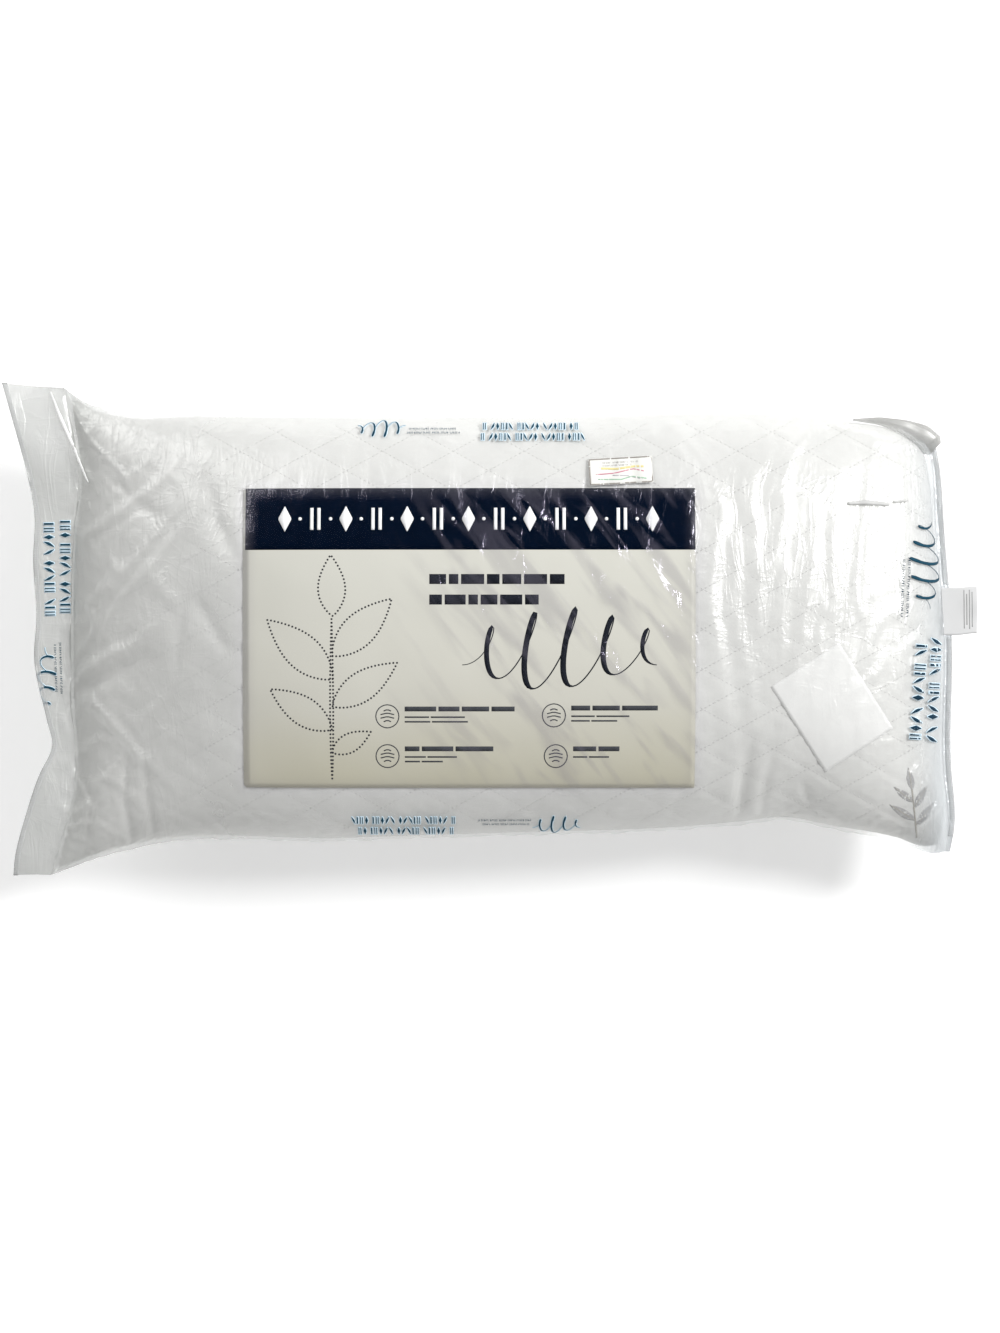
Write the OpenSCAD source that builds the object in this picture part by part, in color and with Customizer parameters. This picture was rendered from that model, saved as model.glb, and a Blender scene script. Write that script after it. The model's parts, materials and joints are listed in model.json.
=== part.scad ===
// Bed pillow in its clear film bag, lying on its back panel.
// X runs along the pillow, Y across it and Z up. The origin is on the resting
// surface, under the middle of the pack.

/* [Pack] */
// Length over the film tail and the care label
pack_length = 948; // [930:1:970]
// Height of the filled pack above the surface it lies on
pack_height = 190; // [180:1:200]
// Height of the edge seam above that surface
seam_height = 88; // [80:1:95]

/* [Filled bag] */
// Width of the filled bag across its corners
body_width = 420; // [410:1:430]
// How far each long side pulls in between its corners
side_pull = 9; // [0:1:14]
// How far each film corner flares at the tail end
tail_end_flare = 18; // [0:1:22]
// How far each corner is rounded off
corner_round = 12; // [0:1:16]
// Roundness of the long sides, where a higher power is boxier
side_power = 2.4; // [2:0.1:3]
// Roundness of the two ends, where a higher power is boxier
end_power = 4.5; // [3:0.1:6]
// Depth that the pack settles, which flattens its underside
settle = 8; // [4:1:12]

/* [Film bag] */
// Wall of the film, drawn thicker than the real one
film_wall = 0.6; // [0.5:0.1:0.8]
// Reach of the flat film tail beyond the filled bag, at its corners
tail_reach = 71; // [60:1:80]
// How much shorter the tail is half way across
tail_hollow = 36; // [20:1:40]
// Width of the tail across its outer corners
tail_width = 482; // [470:1:490]
// Width of the heat welds
weld_width = 5; // [4:0.5:8]

/* [Pillow layers] */
// Thickness of the woven cotton cover
cover_wall = 0.8; // [0.5:0.1:1]
// Thickness of the quilted wadding under the cover
wadding_wall = 6; // [4:0.5:8]
// Thickness of the backing cloth under the wadding
backing_wall = 0.6; // [0.4:0.1:1]

/* [Paper and labels] */
// Left edge of the printed insert card
card_left = -233; // [-250:1:-230]
// Right edge of the printed insert card
card_right = 197; // [190:1:210]
// Lower edge of the printed insert card
card_bottom = -156; // [-160:1:-145]
// Upper edge of the printed insert card
card_top = 139; // [130:1:145]
// Reach of the care label beyond the bag
label_reach = 22; // [18:1:26]
// Width of the care label
label_width = 46; // [40:1:50]
// Distance of the care label from the pack's centre line
label_offset = 18; // [0:1:30]

/* [Hidden] */

// Ends of the filled bag, and the numbers that the curved layers share
body_left = -pack_length / 2 + tail_reach;
body_right = pack_length / 2 - label_reach;
body_mid = (body_left + body_right) / 2;
body_length = body_right - body_left;
top_rise = pack_height - seam_height;
bottom_drop = seam_height + settle;
rim_power = 0.46;
corner_power = 8;
flare_power = 10;

// Half the gap that the end slots and the cover seam leave at seam height
seam_gap = 0.7;
// Clearance between neighbouring layers
clear = 0.2;

// Depth of each layer's outer face below the outside of the bag
card_depth = film_wall + clear;
card_wall = 0.4;
thread_depth = card_depth + card_wall + clear;
thread_wall = 0.5;
cover_depth = 2;
wadding_depth = cover_depth + cover_wall + clear;
backing_depth = wadding_depth + wadding_wall + clear;
fill_depth = backing_depth + backing_wall + clear;

// Cells along and across the layers. The card's edges lie on cell lines.
cells_left = 4;
cells_card_x = 9;
cells_right = 6;
cells_below = 3;
cells_card_y = 8;
cells_above = 3;
cells_x = cells_left + cells_card_x + cells_right;
cells_y = cells_below + cells_card_y + cells_above;

function angle_x(x) = asin((x - body_mid) / (body_length / 2));
function angle_y(y) = asin(y / (body_width / 2));
// n steps from angle a up to, but not including, angle b
function steps(a, b, n) = [for (i = [0:n - 1]) a + (b - a) * i / n];
function cell_lines(first, second, n) =
    [for (a = concat(steps(-90, first, n[0]), steps(first, second, n[1]), steps(second, 90, n[2]), [90])) sin(a)];
// Cell lines from -1 to 1, closer together near the rim, where the surface turns over
u_lines = cell_lines(angle_x(card_left), angle_x(card_right), [cells_left, cells_card_x, cells_right]);
v_lines = cell_lines(angle_y(card_bottom), angle_y(card_top), [cells_below, cells_card_y, cells_above]);

// 1 at the middle of the pillow, and 0 round its rim
function crown(u, v) =
    pow(max(0, 1 - pow(abs(u), end_power)), rim_power) * pow(max(0, 1 - pow(abs(v), side_power)), rim_power);
function corner(u, v) = corner_round * pow(abs(u * v), corner_power);
function plan_x(u, v, depth) = body_mid + u * (body_length / 2 - depth) - sign(u) * corner(u, v);
function plan_y(u, v, depth) =
    v * (body_width / 2 - depth - side_pull * (1 - u * u) + tail_end_flare * pow(max(0, -u), flare_power))
    - sign(v) * corner(u, v);
// A point of the upper or lower face at a depth below the outside of the bag
function top_point(u, v, depth, gap) = [
    plan_x(u, v, depth), plan_y(u, v, depth),
    seam_height + gap + (top_rise - depth - gap) * crown(u, v)
];
function bottom_point(u, v, depth, gap) = [
    plan_x(u, v, depth), plan_y(u, v, depth),
    max(depth, seam_height - gap - (bottom_drop - depth - gap) * crown(u, v))
];
function face_point(side, u, v, depth, gap) =
    side > 0 ? top_point(u, v, depth, gap) : bottom_point(u, v, depth, gap);

// A closed solid between two grids of (nx + 1) by (ny + 1) points, the upper one first.
// parity is 0 or 1, and says which way the first cell's diagonal runs.
module between(upper, lower, nx, ny, parity = 0) {
    count = (nx + 1) * (ny + 1);
    function at(i, j) = i * (ny + 1) + j;
    rim = concat(
        [for (j = [0:ny - 1]) at(0, j)], [for (i = [0:nx - 1]) at(i, ny)],
        [for (j = [0:ny - 1]) at(nx, ny - j)], [for (i = [0:nx - 1]) at(nx - i, 0)]
    );
    skin = [for (i = [0:nx - 1], j = [0:ny - 1], half = [0, 1])
        (i + j + parity) % 2 == 0
            ? (half == 0 ? [at(i, j), at(i, j + 1), at(i + 1, j + 1)] : [at(i, j), at(i + 1, j + 1), at(i + 1, j)])
            : (half == 0 ? [at(i, j), at(i, j + 1), at(i + 1, j)] : [at(i + 1, j), at(i, j + 1), at(i + 1, j + 1)])];
    under = [for (f = skin) [f[2] + count, f[1] + count, f[0] + count]];
    wall = [for (k = [0:len(rim) - 1], half = [0, 1])
        let (a = rim[k], b = rim[(k + 1) % len(rim)])
        half == 0 ? [b, a, a + count] : [b, a + count, b + count]];
    polyhedron(points = concat(upper, lower), faces = concat(skin, under, wall));
}

// The part of one layer over a block of cells: from is its first cell, size its cells along X and Y
module layer_patch(side, depth, wall, from, size, gap = seam_gap) {
    function grid(d) = [for (i = [0:size[0]], j = [0:size[1]])
        face_point(side, u_lines[from[0] + i], v_lines[from[1] + j], d, gap)];
    upper = side > 0 ? grid(depth) : grid(depth + wall);
    lower = side > 0 ? grid(depth + wall) : grid(depth);
    between(upper, lower, size[0], size[1], (from[0] + from[1]) % 2);
}

// Half of a layer, cut at the seam
module half_layer(side, depth, wall) {
    layer_patch(side, depth, wall, [0, 0], [cells_x, cells_y]);
}

// The film is one tube, flattened to a slot at each end
module bag_film() {
    ring = 2 * (cells_y + 1);
    function section(u, depth, gap) = concat(
        [for (j = [0:cells_y]) top_point(u, v_lines[j], depth, gap)],
        [for (j = [cells_y:-1:0]) bottom_point(u, v_lines[j], depth, gap)]
    );
    outer = [for (u = u_lines, p = section(u, 0, seam_gap + film_wall)) p];
    inner = [for (u = u_lines, p = section(u, film_wall, seam_gap)) p];
    count = len(outer);
    // Corners a and b of one section, c and d of the next, with the diagonal that between() takes
    function quad(a, b, c, d, even) = even ? [[a, b, d], [a, d, c]] : [[a, b, c], [c, b, d]];
    outside = [for (i = [0:cells_x - 1], j = [0:ring - 1])
        let (
            k = (j + 1) % ring, column = j <= cells_y ? j : ring - 2 - j,
            even = j < cells_y ? (i + column) % 2 == 0 : (i + column) % 2 != 0
        )
        each quad(i * ring + j, i * ring + k, (i + 1) * ring + j, (i + 1) * ring + k, even)];
    inside = [for (f = outside) [f[2] + count, f[1] + count, f[0] + count]];
    ends = [for (j = [0:ring - 1])
        let (k = (j + 1) % ring, last = cells_x * ring)
        each [
            [k, j, j + count], [k, j + count, k + count],
            [last + j, last + k, last + k + count], [last + j, last + k + count, last + j + count]
        ]];
    color([0.9, 0.93, 0.95, 0.35])
        polyhedron(points = concat(outer, inner), faces = concat(outside, inside, ends));
}

// Plan of the tail, from the fold line to a margin inside its outer edge
fold_clearance = 2;
tail_steps = 24;
function tail_edge(s, margin) = [
    -pack_length / 2 + tail_hollow * (1 - pow(abs(s), 3)) + margin,
    s * (tail_width / 2)
];
module tail_plan(margin) {
    root_x = body_left - fold_clearance;
    root_y = body_width / 2 + tail_end_flare - corner_round;
    outer_edge = [for (k = [0:tail_steps]) tail_edge(1 - 2 * k / tail_steps, margin)];
    polygon(concat([[root_x, root_y]], outer_edge, [[root_x, -root_y]]));
}

ply_wall = 0.5;
ply_gap = 0.1;
module tail_ply(base) {
    translate([0, 0, seam_height + base]) linear_extrude(ply_wall) tail_plan(weld_width + ply_gap);
}
module tail_top_ply() {
    color([0.9, 0.93, 0.95, 0.35]) tail_ply(ply_gap);
}
module tail_bottom_ply() {
    color([0.9, 0.93, 0.95, 0.35]) tail_ply(-ply_gap - ply_wall);
}

// A strip along the tail's outer edge, where the two plies are fused
weld_wall = 0.8;
module tail_end_weld() {
    outer_edge = [for (k = [0:tail_steps]) tail_edge(1 - 2 * k / tail_steps, 0)];
    inner_edge = [for (k = [tail_steps:-1:0]) tail_edge(1 - 2 * k / tail_steps, weld_width)];
    color([0.8, 0.84, 0.86, 0.6])
        translate([0, 0, seam_height - weld_wall / 2]) linear_extrude(weld_wall)
            polygon(concat(outer_edge, inner_edge));
}

// Two welded lengths of the other end, either side of the care label
weld_overlap = 1.5;
label_room = 3;
module label_end_weld() {
    reach = body_width / 2 - 2 * corner_round;
    low_length = label_offset - label_width / 2 - label_room + reach;
    high_start = label_offset + label_width / 2 + label_room;
    color([0.8, 0.84, 0.86, 0.6])
        translate([body_right - weld_overlap, 0, seam_height - weld_wall / 2]) {
            translate([0, -reach, 0]) cube([weld_width, low_length, weld_wall]);
            translate([0, high_start, 0]) cube([weld_width, reach - high_start, weld_wall]);
        }
}

module insert_card() {
    color([0.91, 0.89, 0.8])
        layer_patch(1, card_depth, card_wall, [cells_left, cells_below], [cells_card_x, cells_card_y]);
}

// The sticker is on the outside of the film, just above the card
module contents_sticker() {
    color([0.95, 0.93, 0.85])
        layer_patch(1, -clear - card_wall, card_wall,
            [cells_left + cells_card_x - 2, cells_below + cells_card_y], [1, 1], seam_gap + film_wall);
}

module paper_leaflet() {
    color([0.97, 0.97, 0.96])
        layer_patch(1, card_depth, card_wall, [cells_left + cells_card_x + 1, cells_below + 1], [2, 4]);
}

module cover_top() {
    color([0.97, 0.97, 0.96]) half_layer(1, cover_depth, cover_wall);
}
module cover_bottom() {
    color([0.95, 0.95, 0.94]) half_layer(-1, cover_depth, cover_wall);
}
module wadding_top() {
    color([0.99, 0.99, 0.97]) half_layer(1, wadding_depth, wadding_wall);
}
module wadding_bottom() {
    color([0.99, 0.99, 0.97]) half_layer(-1, wadding_depth, wadding_wall);
}
module backing_top() {
    color([0.9, 0.9, 0.88]) half_layer(1, backing_depth, backing_wall);
}
module backing_bottom() {
    color([0.9, 0.9, 0.88]) half_layer(-1, backing_depth, backing_wall);
}

module fibre_fill() {
    function grid(side) = [for (u = u_lines, v = v_lines) face_point(side, u, v, fill_depth, seam_gap)];
    color([0.93, 0.96, 0.99]) between(grid(1), grid(-1), cells_x, cells_y);
}

// The cell that the corner embroidery covers, which carries no quilting. The rim's cells carry none either.
motif_cell = [cells_x - 3, 1];
// Half the width of a row of stitches, as a share of the cell that it crosses
thread_share = 0.02;
// Share of a cell's diagonal that the stitches leave free at each crossing
crossing_share = 0.06;
// One run of stitches lies along each cell's diagonal, on the two faces that meet there
module quilting_thread(side) {
    function even(c) = (c[0] + c[1]) % 2 == 0;
    // The two ends of the diagonal, then the cell's other two corners
    function corners(c) = even(c)
        ? [c, c + [1, 1], c + [0, 1], c + [1, 0]]
        : [c + [1, 0], c + [0, 1], c, c + [1, 1]];
    function on(c, depth) = face_point(side, u_lines[c[0]], v_lines[c[1]], depth, seam_gap);
    function run(c) =
        let (
            low = [for (k = corners(c)) on(k, thread_depth + thread_wall)],
            high = [for (k = corners(c)) on(k, thread_depth)]
        )
        [for (s = [crossing_share, 1 - crossing_share])
            let (middle = low[0] + (low[1] - low[0]) * s)
            each [
                middle, middle + (low[2] - middle) * thread_share,
                high[0] + (high[1] - high[0]) * s, middle + (low[3] - middle) * thread_share
            ]];
    cells = [for (i = [1:cells_x - 2], j = [1:cells_y - 2]) if (side < 0 || [i, j] != motif_cell) [i, j]];
    ring = [for (k = [0:3], half = [0, 1])
        let (n = (k + 1) % 4) half == 0 ? [k, n, n + 4] : [k, n + 4, k + 4]];
    prism = concat([[3, 2, 0], [2, 1, 0], [4, 5, 6], [4, 6, 7]], ring);
    polyhedron(
        points = [for (c = cells) each run(c)],
        faces = [for (k = [0:len(cells) - 1], f = prism)
            let (turned = side < 0 ? f : [f[2], f[1], f[0]]) [for (p = turned) p + 8 * k]]
    );
}
module quilting_thread_top() {
    color([0.85, 0.85, 0.84]) quilting_thread(1);
}
module quilting_thread_bottom() {
    color([0.85, 0.85, 0.84]) quilting_thread(-1);
}

// A flat band between two depths inside the rim, at seam height
thread_size = 0.8;
module rim_band(depth) {
    function rim(d) = concat(
        [for (v = v_lines) [plan_x(-1, v, d), plan_y(-1, v, d)]],
        [for (i = [1:cells_x]) [plan_x(u_lines[i], 1, d), plan_y(u_lines[i], 1, d)]],
        [for (j = [cells_y - 1:-1:0]) [plan_x(1, v_lines[j], d), plan_y(1, v_lines[j], d)]],
        [for (i = [cells_x - 1:-1:1]) [plan_x(u_lines[i], -1, d), plan_y(u_lines[i], -1, d)]]
    );
    translate([0, 0, seam_height - thread_size / 2]) linear_extrude(thread_size) difference() {
        polygon(rim(depth));
        polygon(rim(depth + thread_size));
    }
}
seam_inset = 7;
module seam_thread() {
    color([0.85, 0.85, 0.84]) rim_band(seam_inset);
}

// Second row of stitches, which closes the end that the filling went in by
closing_length = 220;
closing_inset = 4;
module closing_thread() {
    color([0.85, 0.85, 0.84])
        translate([body_left + closing_inset, -closing_length / 2, seam_height - thread_size / 2])
            cube([thread_size, closing_length, thread_size]);
}

module corner_embroidery() {
    color([0.6, 0.59, 0.58]) layer_patch(1, thread_depth, thread_wall, motif_cell, [1, 1]);
}

// The care label is a folded strip sewn into the end seam. It bends where it leaves the bag.
label_wall = 0.45;
label_sewn = fill_depth - clear;
label_bend_gap = 0.8;
label_bend = body_right + weld_width - weld_overlap;
module label_strip(from, to) {
    for (leaf = [0, 1])
        translate([from, label_offset - label_width / 2, seam_height + leaf * (ply_gap + label_wall) - label_wall])
            cube([to - from, label_width, label_wall]);
}
module care_label_sewn_end() {
    color("white") label_strip(body_right - label_sewn, label_bend - label_bend_gap);
}
module care_label_tab() {
    fold = 1;
    color("white") {
        label_strip(label_bend + label_bend_gap, pack_length / 2 - fold);
        translate([pack_length / 2 - fold, label_offset - label_width / 2, seam_height - label_wall])
            cube([fold, label_width, 2 * label_wall + ply_gap]);
    }
}

bag_film();
tail_top_ply();
tail_bottom_ply();
tail_end_weld();
label_end_weld();
insert_card();
contents_sticker();
paper_leaflet();
cover_top();
cover_bottom();
wadding_top();
wadding_bottom();
backing_top();
backing_bottom();
fibre_fill();
quilting_thread_top();
quilting_thread_bottom();
seam_thread();
closing_thread();
corner_embroidery();
care_label_sewn_end();
care_label_tab();
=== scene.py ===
"""Looks of a king-size bed pillow, packed in its clear film bag."""
import json
import math

import bpy
import numpy as np
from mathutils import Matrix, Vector, noise
from mathutils.bvhtree import BVHTree


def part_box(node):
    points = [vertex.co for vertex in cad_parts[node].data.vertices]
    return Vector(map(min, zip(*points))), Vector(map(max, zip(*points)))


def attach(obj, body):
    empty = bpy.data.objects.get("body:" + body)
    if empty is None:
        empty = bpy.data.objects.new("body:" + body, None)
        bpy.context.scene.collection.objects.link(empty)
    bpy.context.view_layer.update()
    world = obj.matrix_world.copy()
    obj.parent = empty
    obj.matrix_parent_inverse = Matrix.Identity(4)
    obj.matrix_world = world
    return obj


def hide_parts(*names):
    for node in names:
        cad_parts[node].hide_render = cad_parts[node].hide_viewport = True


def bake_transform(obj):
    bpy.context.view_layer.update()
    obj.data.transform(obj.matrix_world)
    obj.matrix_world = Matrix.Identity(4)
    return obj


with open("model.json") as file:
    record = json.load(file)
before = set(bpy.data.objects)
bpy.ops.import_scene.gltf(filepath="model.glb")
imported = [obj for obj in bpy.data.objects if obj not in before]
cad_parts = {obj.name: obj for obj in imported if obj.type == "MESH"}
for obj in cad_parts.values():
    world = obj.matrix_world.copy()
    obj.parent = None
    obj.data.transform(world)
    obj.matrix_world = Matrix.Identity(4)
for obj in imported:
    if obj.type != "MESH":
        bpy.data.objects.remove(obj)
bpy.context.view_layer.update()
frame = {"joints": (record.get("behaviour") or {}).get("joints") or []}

MM = 0.001

# --- Places, from the frame ---
film_low, film_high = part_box("bag_film")
card_low, card_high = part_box("insert_card")
tab_low, tab_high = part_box("care_label_tab")
sewn_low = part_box("care_label_sewn_end")[0]
closing_low, closing_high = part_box("closing_thread")
seam_low, seam_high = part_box("seam_thread")
SEAM_Z = (seam_low.z + seam_high.z) / 2
RISE, DROP = film_high.z - SEAM_Z, SEAM_Z - film_low.z
# How far the underside would reach below the floor, which flattens it there
SETTLE = 8 * MM

hinges = {joint["name"]: joint["pos_m"] for joint in frame["joints"]}
TAIL_X = hinges["tail_fold"][0]
LABEL_X, _, LABEL_Z = hinges["label_flip"]


# --- Small tools ---
def through(points, x):
    """A smooth curve through given points in millimetres, read at x in metres."""
    px, py = np.array(points, float).T * MM
    slope = np.gradient(py, px)
    k = np.clip(np.searchsorted(px, x) - 1, 0, len(px) - 2)
    h = px[k + 1] - px[k]
    t = np.clip((x - px[k]) / h, 0, 1)
    bulge = h * t * (1 - t) * ((1 - t) * slope[k] - t * slope[k + 1])
    return py[k] + (py[k + 1] - py[k]) * (t * t * (3 - 2 * t)) + bulge


def smoothstep(low, high, x):
    t = np.clip((x - low) / (high - low), 0, 1)
    return t * t * (3 - 2 * t)


def sines(count, last=90):
    """Values from -1 to 1, or back where last is -90, that crowd together towards both ends."""
    return np.sin(np.linspace(-last, last, count) * math.pi / 180)


def rotated(x, y, degrees):
    c, s = math.cos(math.radians(degrees)), math.sin(math.radians(degrees))
    return x * c - y * s, x * s + y * c


def placed(x0, y0, turn=0.0):
    """Turns local millimetres, x right and y up, into metres in plan."""
    c, s = math.cos(math.radians(turn)), math.sin(math.radians(turn))
    return lambda x, y: ((x0 + x * c - y * s) * MM, (y0 + x * s + y * c) * MM)


def lumps(points, scale, seed, octaves=3):
    """Soft noise from about -1 to 1 at each point, with features about scale metres across."""
    offset = Vector((seed * 3.7, seed * 1.9, seed * 5.3))
    values = [noise.fractal(Vector(p) / scale + offset, 1.0, 2.0, octaves) for p in points.reshape(-1, 3)]
    return np.array(values).reshape(points.shape[:-1])


def travelled(path):
    """The distance along a path to each of its points."""
    return np.concatenate([[0], np.cumsum(np.linalg.norm(np.diff(path, axis=0), axis=1))])


def read(path, marks, wanted):
    """Places on a path at the wanted values, where marks holds the value at each of its own points."""
    return np.stack([np.interp(wanted, marks, axis) for axis in np.array(path, float).T], axis=-1)


def softened(values, passes):
    """Smooths values in place along their first axis. Both ends stay."""
    for _ in range(passes):
        values[1:-1] = (values[:-2] + 2 * values[1:-1] + values[2:]) / 4
    return values


def leftwards(way):
    """Unit directions in plan, to the left of each way."""
    return np.stack([-way[:, 1], way[:, 0]], axis=-1) / (np.linalg.norm(way, axis=1, keepdims=True) + 1e-12)


def mesh_object(name, points, faces, material, smooth=True):
    mesh = bpy.data.meshes.new(name)
    mesh.from_pydata(np.reshape(points, (-1, 3)).tolist(), [], [[int(k) for k in face] for face in faces])
    mesh.update()
    mesh.polygons.foreach_set("use_smooth", [smooth] * len(mesh.polygons))
    obj = bpy.data.objects.new(name, mesh)
    bpy.context.scene.collection.objects.link(obj)
    obj.data.materials.append(material)
    return obj


def solidify(obj, thickness, offset):
    """Gives a sheet its thickness: all of it outside where offset is 1, half on each side where it is 0."""
    modifier = obj.modifiers.new("wall", "SOLIDIFY")
    modifier.thickness, modifier.offset = thickness, offset
    graph = bpy.context.evaluated_depsgraph_get()
    graph.update()
    solid = bpy.data.meshes.new_from_object(obj.evaluated_get(graph), depsgraph=graph)
    obj.modifiers.clear()
    obj.data = solid


def fix(obj, slot=None, *nodes, body="pack"):
    """Rides a piece on its body, or for the tail_bend body bakes its place into its mesh, and hides the CAD nodes it
    stands for. slot is not used.
    """
    if body == "tail_bend":
        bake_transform(obj)
    else:
        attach(obj, body)
    if nodes:
        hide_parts(*nodes)
    return obj


def grid_faces(rows, columns, base=0):
    """Quads of a grid of rows by columns points, counted row by row."""
    k = np.arange(rows * columns).reshape(rows, columns) + base
    return np.stack([k[:-1, :-1], k[1:, :-1], k[1:, 1:], k[:-1, 1:]], axis=-1).reshape(-1, 4)


def tree_of(points, faces):
    return BVHTree.FromPolygons(np.reshape(points, (-1, 3)).tolist(), [[int(k) for k in face] for face in faces])


# --- The shape of the pack: an outline in plan, and a crown over it ---
# Outline of the filled bag in millimetres: (x, y) along the long sides, (y, x) along the ends
TOP_SIDE = [(-412, 234), (-395, 222), (-368, 213), (-280, 210), (10, 208), (350, 206), (395, 200), (427, 186)]
BOTTOM_SIDE = [
    (-425, -237), (-385, -222), (-343, -210), (-147, -204), (10, -199), (200, -192), (245, -188),
    (287, -184), (336, -193), (400, -206), (430, -216), (443, -215),
]
LEFT_END = [(-237, -425), (-194, -412), (-155, -403), (-58, -405), (87, -403), (147, -398), (234, -412)]
RIGHT_END = [(-215, 443), (-194, 445), (-126, 440), (-10, 441), (106, 433), (160, 430), (186, 427)]
# Outer edge of the tail in millimetres, as (y, x)
TAIL_EDGE = [
    (-238, -462), (-227, -461), (-175, -448), (-140, -436), (-112, -424), (-87, -429), (-28, -441),
    (11, -439), (68, -442), (112, -441), (150, -448), (206, -463), (240, -473),
]
# How square the crown is towards each end and the sides, and how steeply it drops at the rim
LEFT_POWER, RIGHT_POWER, SIDE_POWER = 3.2, 4.2, 2.4
LEFT_RIM, RIM_POWER = 0.78, 0.46

# Soft valleys that the pillow is squeezed into, in millimetres: points in plan, width and depth
VALLEYS = [
    ([(-416, -65), (-375, -50), (-335, -27)], 9, 4.5),
    ([(-270, 143), (-262, 105), (-246, 72)], 10, 4),
    ([(-281, 30), (-268, 8), (-250, -22)], 8, 2.5),
    ([(-292, 27), (-296, 0), (-300, -40)], 9, 2),
    ([(-348, -123), (-352, -160), (-345, -208)], 8, 5),
    ([(-332, -120), (-328, -165), (-322, -205)], 6, 3),
    ([(-400, -120), (-385, -165), (-392, -215)], 9, 4),
    ([(-370, 150), (-330, 115), (-300, 100)], 12, 3),
    ([(250, -110), (243, -150), (240, -190)], 7, 4),
    ([(270, -120), (262, -160), (262, -188)], 6, 2.5),
    ([(300, -150), (310, -170), (322, -185)], 8, 2.5),
]


def plan(u, v):
    """Plan position of the outline patch, where u and v run from -1 to 1."""
    s, t = (u + 1) / 2, (v + 1) / 2
    bl, br, tl, tr = (np.array(p) * MM for p in (BOTTOM_SIDE[0], BOTTOM_SIDE[-1], TOP_SIDE[0], TOP_SIDE[-1]))
    bottom_x, top_x = bl[0] + (br[0] - bl[0]) * s, tl[0] + (tr[0] - tl[0]) * s
    left_y, right_y = bl[1] + (tl[1] - bl[1]) * t, br[1] + (tr[1] - br[1]) * t
    bottom_y, top_y = through(BOTTOM_SIDE, bottom_x), through(TOP_SIDE, top_x)
    left_x, right_x = through(LEFT_END, left_y), through(RIGHT_END, right_y)

    def patch(low, high, left, right, k):
        corner = (1 - s) * (1 - t) * bl[k] + s * (1 - t) * br[k] + (1 - s) * t * tl[k] + s * t * tr[k]
        return (1 - t) * low + t * high + (1 - s) * left + s * right - corner

    return patch(bottom_x, top_x, left_x, right_x, 0), patch(bottom_y, top_y, left_y, right_y, 1)


def crown(u, v):
    """1 at the middle of the pillow and 0 round its rim. The left end slopes more gently."""
    along = np.clip(1 - np.abs(u) ** np.where(u < 0, LEFT_POWER, RIGHT_POWER), 0, 1)
    across = np.clip(1 - np.abs(v) ** SIDE_POWER, 0, 1)
    return along ** np.where(u < 0, LEFT_RIM, RIM_POWER) * across ** RIM_POWER


def spot(x, y, centre_x, centre_y, reach_x, reach_y):
    """1 at a centre in millimetres, and less the further off."""
    return np.exp(-((x / MM - centre_x) / reach_x) ** 2 - ((y / MM - centre_y) / reach_y) ** 2)


def sag(x, y):
    """How much lower the top lies than an even crown, as a share of the rise."""
    left = 0.08 * smoothstep(150 * MM, 400 * MM, -x) + 0.09 * spot(x, y, -335, -70, 95, 120)
    right = 0.06 * smoothstep(250 * MM, 440 * MM, x) * smoothstep(-60 * MM, 180 * MM, y)
    return left + right


def crease(x, y, points, width, height):
    """Height in metres of one soft ridge along a smooth line. Points, width and height are in millimetres."""
    line = softened(read(points, range(len(points)), np.linspace(0, len(points) - 1, 40)) * MM, 6)
    nearest, along = np.full(x.shape, 1.0), np.zeros(x.shape)
    for k, (a, b) in enumerate(zip(line[:-1], line[1:])):
        d = b - a
        w = np.clip(((x - a[0]) * d[0] + (y - a[1]) * d[1]) / (d @ d + 1e-12), 0, 1)
        off = np.hypot(x - a[0] - w * d[0], y - a[1] - w * d[1])
        closer = off < nearest
        nearest = np.where(closer, off, nearest)
        along = np.where(closer, (k + w) / (len(line) - 1), along)
    taper = np.sin(math.pi * (0.03 + 0.94 * along)) ** 0.5
    return height * MM * np.exp(-(nearest / (width * MM)) ** 1.3) * taper


def dents(x, y):
    """Depth in metres of the valleys and of the uneven filling, which is most uneven at the slack end."""
    flat = np.stack([x, y, 0 * x], axis=-1)
    slack_end = smoothstep(190 * MM, 330 * MM, -x)
    uneven = 0.8 * MM * lumps(flat, 0.06, 37, 2)
    return sum(crease(x, y, *valley) for valley in VALLEYS) + uneven + 3.0 * MM * slack_end * lumps(flat, 0.085, 31, 2)


def surface(u, v, depth, side, corner_round=0.0):
    """Points at a depth below the outside of the filled bag. side is 1 for its upper half, -1 for its lower."""
    x, y = plan(u, v)
    inset = np.abs(u * v) ** 6 * corner_round
    x = x - np.sign(u) * (inset + depth * np.abs(u) ** 3)
    y = y - np.sign(v) * (inset + depth * np.abs(v) ** 3)
    rise = crown(u, v)
    if side > 0:
        z = SEAM_Z + (RISE - depth) * rise * (1 - sag(x, y)) - dents(x, y) * rise ** 0.5
    else:
        z = np.maximum(SEAM_Z - (DROP + SETTLE - depth) * rise, depth)
    return np.stack([x, y, z], axis=-1)


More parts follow.
